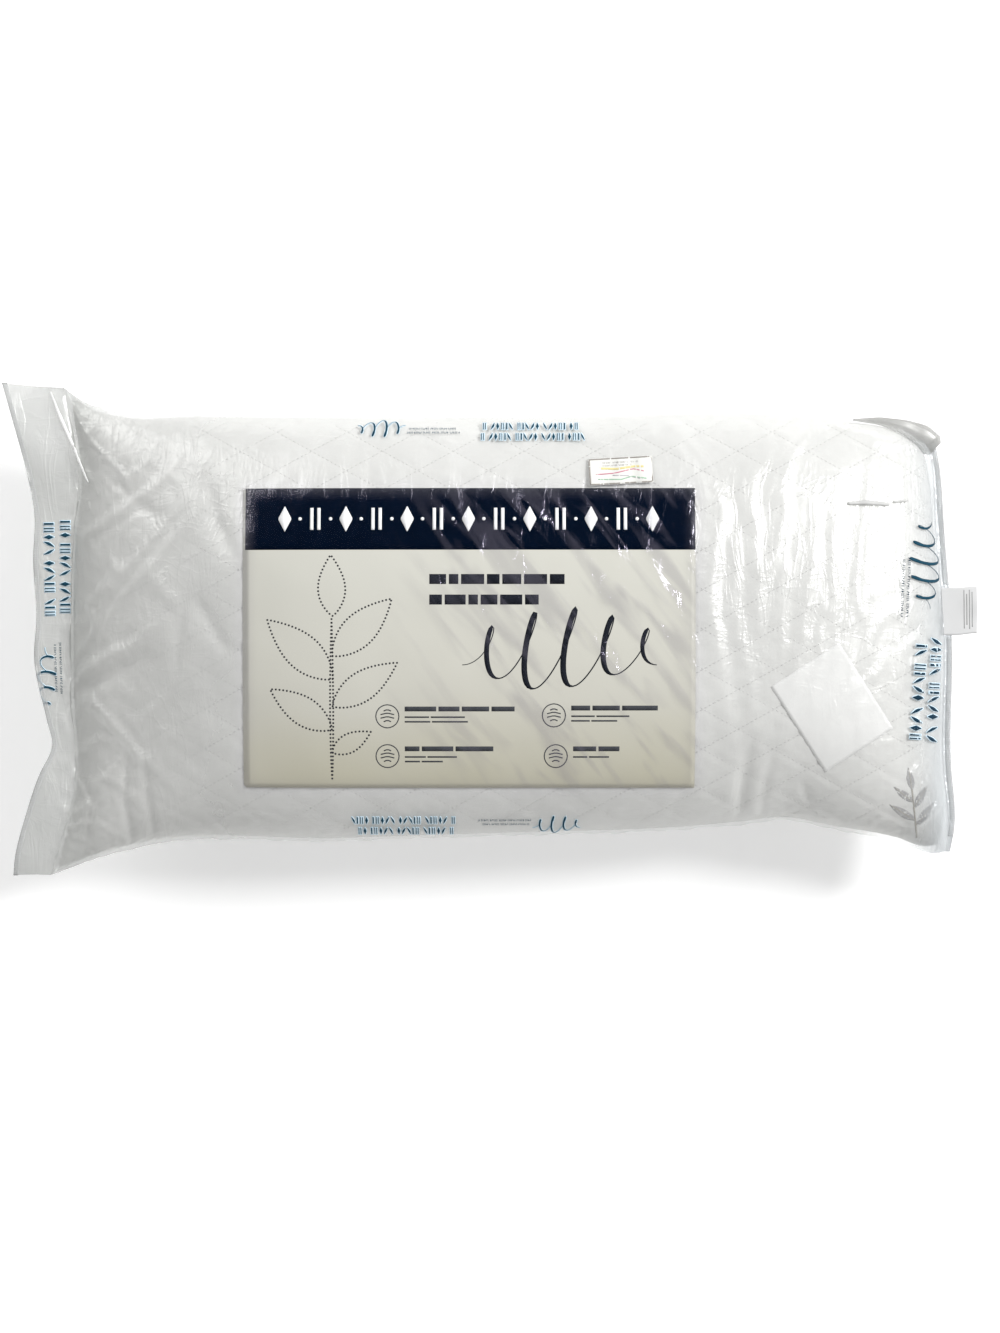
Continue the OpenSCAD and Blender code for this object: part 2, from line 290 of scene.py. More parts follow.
def ring_faces(rings, ring, top_cells):
    """Quads over a form made of rings, and triangles across each end, from its upper to its lower half."""
    k = np.arange(rings * ring).reshape(rings, ring)
    after = np.roll(k, -1, axis=1)
    faces = np.stack([k[:-1], k[1:], after[1:], after[:-1]], axis=-1).reshape(-1, 4).tolist()
    for first, order in ((0, 1), ((rings - 1) * ring, -1)):
        upper = [first + j for j in range(top_cells + 1)]
        lower = [first + (ring - j) % ring for j in range(ring - top_cells + 1)]
        a, b, last_a, last_b = 0, 0, len(upper) - 1, len(lower) - 1
        while a < last_a or b < last_b:
            if a < last_a and ((a + 1) / last_a <= (b + 1) / last_b or b == last_b):
                triangle = [upper[a], upper[a + 1], lower[b]]
                a += 1
            else:
                triangle = [upper[a], lower[b + 1], lower[b]]
                b += 1
            if len(set(triangle)) == 3:
                faces.append(triangle[::order])
    return faces


def ring_form(columns, top_cells, bottom_cells, make_top, make_bottom):
    """A closed form: the ring at each column runs over the top and back under the bottom.
    make_top(u, v) and make_bottom(u, v) give the points. Returns the grid of points, and the faces."""
    u = sines(columns + 1)
    top = make_top(*np.meshgrid(u, sines(top_cells + 1), indexing="ij"))
    bottom = make_bottom(*np.meshgrid(u, sines(bottom_cells + 1, -90)[1:-1], indexing="ij"))
    points = np.concatenate([top, bottom], axis=1)
    return points, ring_faces(columns + 1, points.shape[1], top_cells)


# --- Materials ---
class Nodes:
    """A material's node tree, with short calls for what these materials use."""

    def __init__(self, name, **values):
        self.material = bpy.data.materials.new(name)
        self.material.use_nodes = True
        self.tree = self.material.node_tree
        self.tree.nodes.clear()
        shaded = self.add("BsdfPrincipled", {})
        self.shader = shaded.node
        self.add("OutputMaterial", {"Surface": shaded}, None)
        self.place = self.add("TexCoord", {}, "Object")
        self.set(**values)

    def add(self, kind, inputs, output=0, **values):
        """Adds a node with its inputs and its own values, and returns one of its outputs."""
        node = self.tree.nodes.new("ShaderNode" + kind)
        for key, value in values.items():
            setattr(node, key, value)
        for key, value in inputs.items():
            self.put(node.inputs[key], value)
        return None if output is None else node.outputs[output]

    def put(self, socket, value):
        """Joins an input to another node's output, or gives it a number, a vector or a colour."""
        if isinstance(value, bpy.types.NodeSocket):
            self.tree.links.new(value, socket)
        else:
            socket.default_value = (*value, 1) if socket.type == "RGBA" else value

    def set(self, **values):
        """Gives the shader its inputs."""
        for key, value in values.items():
            self.put(self.shader.inputs[key.replace("_", " ").title().replace("Ior", "IOR")], value)

    def scaled(self, scale, turn=0.0, kind="POINT"):
        """Places for a pattern that is turned in plan, and squeezed by a scale or, as a TEXTURE, stretched."""
        inputs = {"Vector": self.place, "Scale": scale, "Rotation": (0, 0, turn)}
        return self.add("Mapping", inputs, vector_type=kind)

    def noise(self, scale, detail=3, place=None, distortion=0.0):
        inputs = {"Vector": place or self.place, "Scale": scale, "Detail": detail, "Distortion": distortion}
        return self.add("TexNoise", inputs, "Fac")

    def wave(self, scale, direction, distortion=0.0):
        inputs = {"Vector": self.place, "Scale": scale, "Distortion": distortion}
        return self.add("TexWave", inputs, "Fac", bands_direction=direction)

    def fade(self, axis, low, high, kind="SMOOTHSTEP"):
        """0 at low and 1 at high, in metres along one axis."""
        along = self.add("SeparateXYZ", {0: self.place}, axis)
        inputs = {"Value": along, "From Min": low, "From Max": high}
        return self.add("MapRange", inputs, interpolation_type=kind)

    def ramp(self, value, *stops):
        """A grey or a colour for each value, from stops of a position and a grey or a colour."""
        output = self.add("ValToRGB", {"Fac": value}, "Color")
        elements = output.node.color_ramp.elements
        while len(elements) < len(stops):
            elements.new(0.5)
        for element, (position, color) in zip(elements, stops):
            element.position = position
            element.color = (*color, 1) if isinstance(color, tuple) else (color, color, color, 1)
        return output

    def math(self, operation, *values):
        return self.add("Math", dict(enumerate(values)), operation=operation)

    def blend(self, factor, first, second):
        return self.add("Mix", {"Factor": factor, 6: first, 7: second}, 2, data_type="RGBA")

    def bump(self, height, strength, distance, after=None):
        inputs = {"Height": height, "Strength": strength, "Distance": distance}
        return self.add("Bump", {**inputs, "Normal": after} if after else inputs)


def shade(color, share):
    return tuple(share * c for c in color)


def cotton():
    """Fine plain-woven white cotton, very slightly uneven in tone."""
    n = Nodes("cotton_cover", roughness=0.85, sheen_weight=0.25, sheen_roughness=0.5, specular_ior_level=0.25)
    weave = n.math("MAXIMUM", n.wave(260, "X", 0.4), n.wave(260, "Y", 0.4))
    n.set(base_color=n.ramp(n.noise(9, 4), (0.3, (0.68, 0.68, 0.665)), (0.7, (0.72, 0.72, 0.705))),
          normal=n.bump(weave, 0.35, 0.00015, n.bump(n.noise(60, 4), 0.25, 0.0015)))
    return n.material


def clear_film():
    """Glossy film. It is clear where it lies tight on the card, hazy over the pillow, and cloudiest in the tail. Over
    the right part of the card, diagonal lilac streaks are painted in as reflections.
    """
    n = Nodes("clear_film", specular_ior_level=0.75)

    def times(a, b):
        return n.math("MULTIPLY", a, b)

    def within(axis, low, high):
        blur = 14 * MM
        return times(n.fade(axis, low - blur, low + blur), n.fade(axis, high + blur, high - blur))

    on_the_card = times(within("X", card_low.x, card_high.x), within("Y", card_low.y, card_high.y))
    # Painted reflection: diagonal noise streaks over the right part of the card make the mirror-like film show there,
    # in place of reflections off its wrinkles
    reflection_streak_noise = n.noise(30, 2, n.scaled((3.4, 0.5, 1), math.radians(-52), "TEXTURE"), 0.5)
    painted_reflection_streaks = times(n.fade("X", -120 * MM, 20 * MM), times(n.ramp(reflection_streak_noise, (0.50, 0.0), (0.64, 1.0)), 0.72))
    tail = n.fade("X", TAIL_X + 45 * MM, TAIL_X)
    left, right = n.fade("X", -180 * MM, -330 * MM), n.fade("X", 385 * MM, 436 * MM)
    fin = n.fade("X", 420 * MM, 440 * MM)
    haze = n.math("MULTIPLY_ADD", n.ramp(n.noise(14, 5, distortion=0.4), (0.35, 0.0), (0.75, 1.0)), 0.08, 0.20)
    for part, share in ((left, 0.15), (tail, 0.12), (right, 0.16), (fin, 0.2)):
        haze = n.math("ADD", haze, times(part, share))
    clear = n.math("SUBTRACT", 1.0, times(on_the_card, n.math("SUBTRACT", 0.985, painted_reflection_streaks)))
    cloud = n.ramp(tail, (0.0, (0.73, 0.735, 0.715)), (1.0, (0.62, 0.63, 0.61)))
    cloud = n.blend(right, cloud, (0.545, 0.575, 0.595))
    gloss = n.ramp(n.noise(35, 4), (0.3, 0.10), (0.8, 0.20))
    dull = n.math("ADD", times(n.math("SUBTRACT", 1.0, on_the_card), 0.20), times(left, 0.06))
    long_creases = n.noise(26, 4, n.scaled((2.2, 0.55, 1.0), 0.12), 1.1)
    cross_creases = n.noise(30, 4, n.scaled((0.7, 1.9, 1.0), 0.5), 0.8)
    first = n.bump(n.ramp(long_creases, (0.42, 0.0), (0.5, 1.0), (0.58, 0.0)), 0.35, 0.001)
    # On the card the film's lilac colour is the tint of the painted reflection streaks
    n.set(alpha=times(haze, clear), metallic=n.math("MULTIPLY_ADD", on_the_card, 0.8, 0.5),
          base_color=n.blend(on_the_card, cloud, (0.60, 0.56, 0.72)), roughness=n.math("ADD", gloss, dull),
          normal=n.bump(n.ramp(cross_creases, (0.44, 0.0), (0.5, 1.0), (0.56, 0.0)), 0.2, 0.0008, first))
    return n.material


def film_weld():
    n = Nodes("film_weld", metallic=0.1, base_color=(0.66, 0.67, 0.67), roughness=0.3, alpha=0.4)
    n.set(normal=n.bump(n.wave(180, "Y"), 0.6, 0.0004))
    return n.material


def shaded_folded_film():
    """Film lying in several layers, so cloudier. Its dark grey colour is painted shade of the rolled corner."""
    n = Nodes("shaded_folded_film", metallic=0.15, base_color=(0.40, 0.40, 0.385), roughness=0.3)
    n.set(alpha=n.ramp(n.noise(30, 3, n.scaled((0.5, 2, 1))), (0.35, 0.6), (0.7, 0.85)),
          normal=n.bump(n.noise(30, 2, n.scaled((0.4, 2, 1))), 0.2, 0.001))
    return n.material


def card_board():
    """Cream printed card, darker and a little yellower towards its lower edge. The darkening is painted shade where
    the card slopes away from the light; the yellower tone is its own.
    """
    n = Nodes("card_cream", roughness=0.5, specular_ior_level=0.35)
    # Painted shade: the colour darkens from the card's upper edge down to its lower edge, with random unevenness mixed
    # in
    height = n.fade("Y", card_low.y, card_high.y, "LINEAR")
    uneven = n.math("ADD", height, n.math("MULTIPLY", n.noise(7, 3), 0.25))
    shaded_tones = (0.12, (0.50, 0.48, 0.38)), (0.4, (0.55, 0.54, 0.48)), (0.8, (0.57, 0.565, 0.51))
    n.set(base_color=n.ramp(uneven, *shaded_tones), normal=n.bump(n.noise(900, 2), 0.15, 0.0001))
    return n.material


def paper(name, color):
    n = Nodes(name, roughness=0.6, specular_ior_level=0.3)
    n.set(base_color=n.ramp(n.noise(40, 4), (0.35, shade(color, 0.95)), (0.65, color)),
          normal=n.bump(n.noise(900, 2), 0.15, 0.0001))
    return n.material


def ink(name, color, roughness=0.45):
    """Printed ink, very slightly patchy, as ink on card or film is."""
    n = Nodes(name, roughness=roughness, specular_ior_level=0.02)
    lighter = tuple(min(1, 1.25 * c + 0.0004) for c in color)
    n.set(base_color=n.ramp(n.noise(120, 3), (0.35, color), (0.75, lighter)))
    return n.material


def thread(name, color):
    """Twisted thread with a slight sheen."""
    n = Nodes(name, roughness=0.55, sheen_weight=0.3)
    twist = n.wave(420, "DIAGONAL", 0.5)
    n.set(base_color=n.ramp(twist, (0.2, shade(color, 0.82)), (0.8, color)), normal=n.bump(twist, 0.5, 0.0002))
    return n.material


def satin():
    """White satin ribbon with fine ribs across it."""
    n = Nodes("label_satin", roughness=0.42, sheen_weight=0.4, specular_ior_level=0.5)
    ribs = n.wave(330, "Y", 0.2)
    n.set(base_color=n.ramp(ribs, (0.1, (0.59, 0.59, 0.59)), (0.9, (0.67, 0.67, 0.67))),
          normal=n.bump(ribs, 0.4, 0.0002))
    return n.material


def fibre(name, color):
    """Loose matted fibre."""
    n = Nodes(name, roughness=0.95, sheen_weight=0.5)
    tangle = n.noise(220, 6, distortion=2.0)
    n.set(base_color=n.ramp(tangle, (0.35, shade(color, 0.85)), (0.65, color)), normal=n.bump(tangle, 0.8, 0.001))
    return n.material


COTTON, FILM, WELD, FOLDED_SHADED = cotton(), clear_film(), film_weld(), shaded_folded_film()
WHITE = thread("white_thread", (0.62, 0.62, 0.61))


# --- Camera, light and floor ---
def add_camera():
    """Straight above the pack. The view is 970 mm wide at the height of the seam."""
    camera = bpy.data.cameras.new("camera")
    camera.sensor_fit = "HORIZONTAL"
    distance, view_width, middle_x, middle_y = 5.0, 0.970, 0.0107, -0.0354
    camera.angle_x = 2 * math.atan(view_width / 2 / distance)
    obj = bpy.data.objects.new("camera", camera)
    obj.location = (middle_x, middle_y, SEAM_Z + distance)
    bpy.context.scene.collection.objects.link(obj)
    bpy.context.scene.camera = obj


def add_area(name, place, size, power):
    """A round white light that shines on the middle of the pack."""
    light = bpy.data.lights.new(name, "AREA")
    light.shape, light.size, light.energy = "DISK", size, power
    obj = bpy.data.objects.new(name, light)
    obj.location = place
    obj.rotation_euler = (Vector((0, 0, 0.1)) - Vector(place)).to_track_quat("-Z", "Y").to_euler()
    bpy.context.scene.collection.objects.link(obj)


def add_stage():
    add_area("key_light", (3.8, 1.9, 3.6), 1.8, 294)
    add_area("fill_light", (-2.2, 2.4, 2.0), 2.2, 43)
    world = bpy.data.worlds.new("studio")
    world.use_nodes = True
    background = world.node_tree.nodes["Background"]
    background.inputs["Color"].default_value = (1, 1, 1, 1)
    background.inputs["Strength"].default_value = 0.47
    bpy.context.scene.world = world
    bpy.context.scene.view_settings.view_transform = "Standard"
    n = Nodes("floor_white", roughness=0.9, specular_ior_level=0.1, emission_color=(1.0, 1.0, 1.0),
              emission_strength=0.28)
    n.set(base_color=n.ramp(n.noise(3, 2), (0.3, (0.90, 0.90, 0.90)), (0.7, (0.91, 0.91, 0.91))))
    half = 6.0
    corners = [(-half, -half, 0), (half, -half, 0), (half, half, 0), (-half, half, 0)]
    mesh_object("floor", corners, [(0, 1, 2, 3)], n.material, smooth=False)


add_camera()
add_stage()


# --- Cloth: a grid of points joined by links, settled by position-based dynamics ---
def normals_of(grid):
    """Outward normals of a grid of rings."""
    along = np.gradient(grid, axis=0)
    around = np.roll(grid, -1, axis=1) - np.roll(grid, 1, axis=1)
    n = np.cross(around, along)
    return -n / (np.linalg.norm(n, axis=-1, keepdims=True) + 1e-12)


def settle(base, slack_u, slack_v, start, held, steps, push, lowest, highest, bend=0.6):
    """Lets cloth that is cut larger than its base by the slack buckle and settle near it.
    start is each point's first height over the base, held is 1 where it can't move, push is the
    distance that each step presses it inwards, and lowest and highest are the heights it keeps between."""
    normal = normals_of(base)

    def ends(grid, rows, turn):
        """Both ends of the links that go so many rows on, and so many places round the ring."""
        return grid[:len(grid) - rows], np.roll(grid, -turn, axis=1)[rows:]

    across_u = 1 + (slack_u[1:] + slack_u[:-1]) / 2
    across_v = 1 + (np.roll(slack_v, -1, axis=1) + slack_v) / 2
    shear = np.sqrt((across_u ** 2 + across_v[1:] ** 2) / 2)
    links = []
    for rows, turn, spare, strength in (
        (1, 0, across_u, 1.0), (0, 1, across_v, 1.0), (1, 1, shear, 0.5), (1, -1, np.roll(shear, 1, axis=1), 0.5),
        (2, 0, 1 + slack_u[1:-1], bend), (0, 2, 1 + np.roll(slack_v, -1, axis=1), bend),
    ):
        a, b = ends(base, rows, turn)
        links.append((rows, turn, np.linalg.norm(b - a, axis=-1) * spare, strength))
    grid = base + normal * start[..., None]
    speed = np.zeros_like(grid)
    free = (1 - held)[..., None]
    for _ in range(steps):
        move = np.zeros_like(grid)
        for rows, turn, length, strength in links:
            a, b = ends(grid, rows, turn)
            d = b - a
            reach = np.linalg.norm(d, axis=-1) + 1e-9
            pull = d * ((reach - length) / reach * 0.5 * strength)[..., None]
            move[:len(grid) - rows] += pull
            move[rows:] -= np.roll(pull, turn, axis=1)
        speed = 0.85 * speed + 0.25 * move
        grid = grid + (speed - normal * push) * free
        height = np.einsum("ijk,ijk->ij", grid - base, normal)
        grid = grid + normal * (np.clip(height, lowest, highest) - height)[..., None]
    return grid


def eased(grid, base, share, passes=8):
    """By each point's share, lays the film smoothly over its base where it goes over from taut to slack."""
    normal = normals_of(base)
    even = np.einsum("ijk,ijk->ij", grid - base, normal)
    for _ in range(passes):
        even = softened(even, 1)
        even = (np.roll(even, 1, axis=1) + 2 * even + np.roll(even, -1, axis=1)) / 4
    return grid + (base + normal * even[..., None] - grid) * share[..., None]


# --- The pillow ---
COVER_DEPTH, COVER_CORNER, LAYER_CORNER = 3.0 * MM, 5 * MM, 14 * MM
COVER_COLUMNS, COVER_TOP_CELLS, COVER_BOTTOM_CELLS = 280, 130, 60
LAYER_COLUMNS, LAYER_CELLS = 70, 36
# Half the length and half the width of one diamond of the quilting
QUILT_X, QUILT_Y = 34 * MM, 19 * MM


def off_stitches(x, y):
    """Distance in metres from each place to the nearest line of quilting."""
    p, q = (x / QUILT_X + y / QUILT_Y) / 2, (x / QUILT_X - y / QUILT_Y) / 2
    spacing = 2 * QUILT_X * QUILT_Y / math.hypot(QUILT_X, QUILT_Y)
    return np.minimum(np.abs(p - np.round(p)), np.abs(q - np.round(q))) * spacing


def pillow_cover():
    """The quilted cover: held down along its stitches, and puffed out by the wadding between them."""
    def face(side):
        return lambda u, v: surface(u, v, COVER_DEPTH, side, COVER_CORNER)

    base, faces = ring_form(COVER_COLUMNS, COVER_TOP_CELLS, COVER_BOTTOM_CELLS, face(1), face(-1))
    near_rim = 1 - smoothstep(12 * MM, 40 * MM, np.abs(base[..., 2] - SEAM_Z))
    stitched = np.exp(-(off_stitches(base[..., 0], base[..., 1]) / (3.4 * MM)) ** 2) * (1 - near_rim)
    right = smoothstep(120 * MM, 300 * MM, base[..., 0])
    slack = 0.004 + 0.004 * right + 0.02 * near_rim
    wrinkles = lumps(base * np.array([1, 1, 0.7]), 0.03, 3, 3)
    start = 0.35 * MM * (0.25 + 0.75 * right) * (1 - stitched) + wrinkles * 0.3 * MM
    held = np.maximum(stitched, near_rim * 0.7)
    held[[0, -1]] = 1
    steps = 160
    puffed = settle(base, slack, slack, start, held, steps, -0.001 * MM, -0.5 * MM, 0.7 * MM, 0.3)
    puffed[..., 2] = np.maximum(puffed[..., 2], 1.5 * MM)
    obj = fix(mesh_object("pillow_cover", puffed, faces, COTTON), "cotton_cover", "cover_top", "cover_bottom")
    return tree_of(puffed, faces)


def inner_layer(name, side, depth, wall, material, node, slot):
    """A closed, even layer inside the cover, or the whole filling where side is 0."""
    def face(depth, half):
        return lambda u, v: surface(u, v, depth, half, LAYER_CORNER) + np.array([0, 0, side * MM])

    halves = (face(depth, side), face(depth + wall, side)) if side else (face(depth, 1), face(depth, -1))
    form = ring_form(LAYER_COLUMNS, LAYER_CELLS, LAYER_CELLS, *halves)
    fix(mesh_object(name, *form, material), slot, node)


# --- The film bag ---
FILM_COLUMNS, TAIL_COLUMNS, FIN_COLUMNS = 240, 14, 3
FILM_TOP_CELLS, FILM_BOTTOM_CELLS = 130, 60
FIN_REACH = 8 * MM
# Half the gap between the two plies of the flat tail
PLY_GAP = 0.4 * MM

# Sharp creases of the film in millimetres: points in plan, width and height
CREASES = [
    ([(171, 204), (222, 126), (209, 29), (219, -10), (239, -194)], 5, 5),
    ([(200, 190), (236, 90), (228, 20), (246, -60), (262, -170)], 4, 3.5),
    ([(311, 194), (285, 165), (273, 126)], 4, 4),
    ([(-280, 155), (-275, 107), (-241, 78)], 4, 4.5),
    ([(-406, -58), (-370, -30), (-338, -19)], 5, 5),
    ([(-290, 68), (-287, -10), (-295, -68)], 3.5, 3),
    ([(-334, -116), (-350, -150), (-353, -184)], 6, 6),
    ([(-345, -110), (-372, -150), (-385, -195)], 5, 5),
    ([(-318, -112), (-325, -150), (-322, -190)], 5, 4),
    ([(-400, -170), (-410, -200), (-420, -228)], 5, 4),
    ([(-380, -140), (-395, -185), (-415, -225)], 4, 4),
    ([(-423, 228), (-410, 195), (-388, 145)], 6, 4.5),
    ([(-408, 226), (-396, 200), (-380, 176)], 3, 3),
    ([(-300, -120), (-270, -160), (-200, -175)], 5, 2.5),
    ([(436, -168), (415, -184), (408, -196)], 4, 3),
    ([(330, 196), (380, 180), (430, 178)], 5, 4),
    ([(150, 142), (172, 108), (188, 78)], 4, 2.2),
    ([(172, 146), (190, 110), (196, 60)], 4, 1.8),
    ([(95, 142), (106, 110), (92, 70)], 4, 2),
    ([(28, 142), (42, 112), (56, 84)], 4, 1.8),
    ([(62, 134), (84, 98), (110, 50)], 4, 1.8),
    ([(130, 120), (150, 60), (190, 0)], 5, 1.8),
    ([(60, 40), (120, -40), (180, -110)], 6, 1.5),
]
# Where the film is slack: centre and reach in millimetres, then the share of slack along X and across it
SLACK = [
    (235, -20, 70, 260, 0.03, 0), (-310, 20, 90, 200, 0.028, 0.008), (130, 90, 120, 90, 0.02, 0),
    (400, 40, 60, 150, 0.008, 0), (-340, -120, 90, 80, 0, 0.03), (400, -40, 50, 140, 0, 0.008),
    (-330, 60, 60, 100, 0, 0.01),
]


def folds(grid, scale, stretch, angle, seed):
    """From 0 to 1: narrow folds that run on average at an angle in degrees, stretched along it."""
    along, across = rotated(grid[..., 0], grid[..., 1], -angle)
    field = lumps(np.stack([along / stretch, across, 0.6 * grid[..., 2]], axis=-1), scale, seed, 2)
    return np.exp(-(np.abs(field) * 6.6) ** 1.2)


def film_rows(sine_v, side):
    """Rows of film points from the tail's outer edge to the other end, for one face of the bag."""
    body = surface(*np.meshgrid(sines(FILM_COLUMNS + 1), sine_v, indexing="ij"), 0.0, side)
    if side > 0:
        body[:, 1:-1, 2] = np.maximum(body[:, 1:-1, 2], SEAM_Z + PLY_GAP)
    else:
        body[..., 2] = np.minimum(body[..., 2], SEAM_Z - PLY_GAP)
    y_edge = np.interp(sine_v, [-1, 1], [TAIL_EDGE[0][0] * MM, TAIL_EDGE[-1][0] * MM])
    edge = np.stack([through(TAIL_EDGE, y_edge), y_edge, np.full_like(y_edge, SEAM_Z)], axis=-1)
    share = np.linspace(0, 1, TAIL_COLUMNS + 1)[:-1, None, None]
    tail = edge * (1 - share) + body[0] * share
    opening = np.minimum(share[..., 0] / 0.12, 1) * (1 - np.abs(sine_v) ** 30)
    tail[..., 2] = SEAM_Z + side * PLY_GAP * opening
    share = np.linspace(0, 1, FIN_COLUMNS + 1)[1:, None]
    fin = np.repeat(body[-1:], FIN_COLUMNS, axis=0)
    fin[..., 0] += FIN_REACH * share * (1 - 0.5 * np.abs(sine_v) ** 6)
    fin[..., 2] = SEAM_Z + side * PLY_GAP * (1 - share)
    return np.concatenate([tail, body, fin], axis=0)


def tail_wave(x, y):
    """Height in metres of the soft waves in the flat tail, which grow towards its outer edge."""
    reach = smoothstep(404 * MM, 470 * MM, -x)
    waves = 3.0 * np.sin(y / (31 * MM) + 0.8) + 2.0 * np.sin(y / (17 * MM) + x / (20 * MM))
    droop = -9.0 * np.abs(y / (240 * MM)) ** 4 + 5.0 * np.exp(-((y / MM + 85) / 40) ** 2)
    return (waves + droop) * MM * reach


def film_shape():
    """The whole bag as a grid of rings, creased and settled on what it holds."""
    upper, lower = sines(FILM_TOP_CELLS + 1), sines(FILM_BOTTOM_CELLS + 1, -90)[1:-1]
    base = np.concatenate([film_rows(upper, 1), film_rows(lower, -1)], axis=1)
    x, y = base[..., 0], base[..., 1]
    body = smoothstep(-430 * MM, -405 * MM, x) * (1 - smoothstep(425 * MM, 440 * MM, x))
    top = np.zeros(x.shape)
    top[:, :FILM_TOP_CELLS + 1] = 1
    under = 1 - top
    slack_u, slack_v = np.full(x.shape, 0.005), np.full(x.shape, 0.004)
    for *place, along, across in SLACK:
        slack_u += along * spot(x, y, *place)
        slack_v += across * spot(x, y, *place)
    taut = smoothstep(-10 * MM, 90 * MM, -x) * smoothstep(-310 * MM, -180 * MM, x) * top
    slack_u = (slack_u + 0.008 * under) * body * (1 - 0.8 * taut)
    slack_v = (slack_v + 0.006 * under) * body
    loose = 0.2 + spot(x, y, 235, -20, 90, 260) + 0.5 * spot(x, y, 130, 90, 110, 90)
    loose += 0.5 * spot(x, y, 400, 40, 60, 150)
    # Narrow folds: their height in millimetres, what folds() is given, and where they lie
    start = sum(height * MM * folds(base, *field) * where for height, field, where in (
        (1.3, (0.045, 7.0, 84, 5), loose),
        (1.6, (0.06, 3.0, 58, 11), spot(x, y, -300, 0, 110, 260)),
        (1.5, (0.07, 3.5, -40, 17), spot(x, y, -320, -60, 90, 220)),
        (0.4, (0.05, 3.0, 20, 23), spot(x, y, 350, -60, 100, 200)),
        (1.1, (0.07, 4.0, 12, 41), under),
        (1.0, (0.06, 3.0, 75, 47), under),
    )) * body
    for points, width, height in CREASES:
        start = np.maximum(start, crease(x, y, points, width, height) * top)
    held = 1 - smoothstep(-438 * MM, -420 * MM, x) * (1 - smoothstep(430 * MM, 442 * MM, x))
    grid = settle(base, slack_u, slack_v, start, held, 400, 0.0015 * MM, 0, 12 * MM)
    grid = eased(grid, base, spot(x, y, -265, 0, 60, 300) * top)
    grid[..., 2] += tail_wave(grid[..., 0], grid[..., 1])
    grid[..., 2] = np.maximum(grid[..., 2], 0.0)
    return grid


def film_bag(grid):
    faces = ring_faces(len(grid), grid.shape[1], FILM_TOP_CELLS)
    fix(mesh_object("film_bag", grid, faces, FILM), "clear_film", "bag_film", "tail_top_ply", "tail_bottom_ply",
        body="tail_bend")
    return tree_of(grid, faces)


# --- Thin things that lie on a surface ---
class Marks:
    """Flat shapes that hug one surface a little way off it, gathered into one mesh."""

    def __init__(self, tree, offset):
        self.tree, self.offset, self.points, self.faces = tree, offset, [], []

    def add(self, places, faces):
        """Adds a shape, whose places in plan fall on the surface from above."""
        self.faces += [[len(self.points) + k for k in face] for face in faces]
        for x, y in places:
            at, normal, _, _ = self.tree.ray_cast(Vector((x, y, 1.0)), Vector((0, 0, -1)))
            if at is None:
                at, normal, _, _ = self.tree.find_nearest(Vector((x, y, SEAM_Z)))
            if normal.z < 0 and at.z > SEAM_Z:
                normal = -normal
            self.points.append(at + normal * self.offset)

    def sheet(self, place, xs, ys):
        """A sheet whose points lie at place(x, y), for each of the xs and the ys."""
        self.add([place(x, y) for x in xs for y in ys], grid_faces(len(xs), len(ys)))

    def strip(self, path, width, across=1, step=3 * MM, shut=False):
        """A band along a path in plan. width is one number or one for each point of the path."""
        path = np.array(path, float)
        width = np.broadcast_to(np.array(width, float), (len(path),))
        if shut:
            path, width = np.vstack([path, path[:1]]), np.append(width, width[0])
        far = travelled(path)
        at = np.linspace(0, far[-1], max(2, int(math.ceil(far[-1] / step)) + 1))
        line = read(path, far, at)
        ahead = np.vstack([line[1:], line[1:2] if shut else line[-1:]])
        behind = np.vstack([line[-2:-1] if shut else line[:1], line[:-1]])
        off = np.interp(at, far, width)[:, None] * np.linspace(-0.5, 0.5, across + 1)
        places = line[:, None] + leftwards(ahead - behind)[:, None] * off[..., None]
        self.add(places.reshape(-1, 2), grid_faces(len(line), across + 1)[:, ::-1])

    def disc(self, centre, radius, sides=10):
        turns = np.arange(sides) * 2 * math.pi / sides
        rim = np.stack([centre[0] + radius * np.cos(turns), centre[1] + radius * np.sin(turns)], axis=-1)
        self.add(np.vstack([rim, centre]), [(k, (k + 1) % sides, sides) for k in range(sides)])

    def build(self, name, material, thickness, slot=None, *nodes, body="pack"):
        obj = mesh_object(name, self.points, self.faces, material)
        solidify(obj, thickness, 1)
        return fix(obj, slot, *nodes, body=body)


def even_tree(depth):
    """The even upper surface at a depth below the outside of the filled bag."""
    u, v = sines(161), sines(91)
    points = surface(*np.meshgrid(u, v, indexing="ij"), depth, 1)
    return tree_of(points, grid_faces(len(u), len(v))[:, ::-1])


def dotted(marks, outline, pitch, radius, place, least_x):
    """Dots at an even pitch along a closed outline in millimetres, where its x is over least_x."""
    loop = np.array(list(outline) + [outline[0]], float)
    far = travelled(loop)
    for x, y in read(loop, far, np.linspace(0, far[-1], int(far[-1] / pitch), endpoint=False)):
        if x > least_x:
            marks.disc(place(x, y), radius * MM, 8)


def bars(marks, place, x, y, lengths, height, gap=2.6):
    """A row of plain bars, from x rightwards, centred on y, in millimetres."""
    for length in lengths:
        marks.strip([place(x, y), place(x + length, y)], height * MM, 2 if height > 4 else 1, 5 * MM)
        x += length + gap


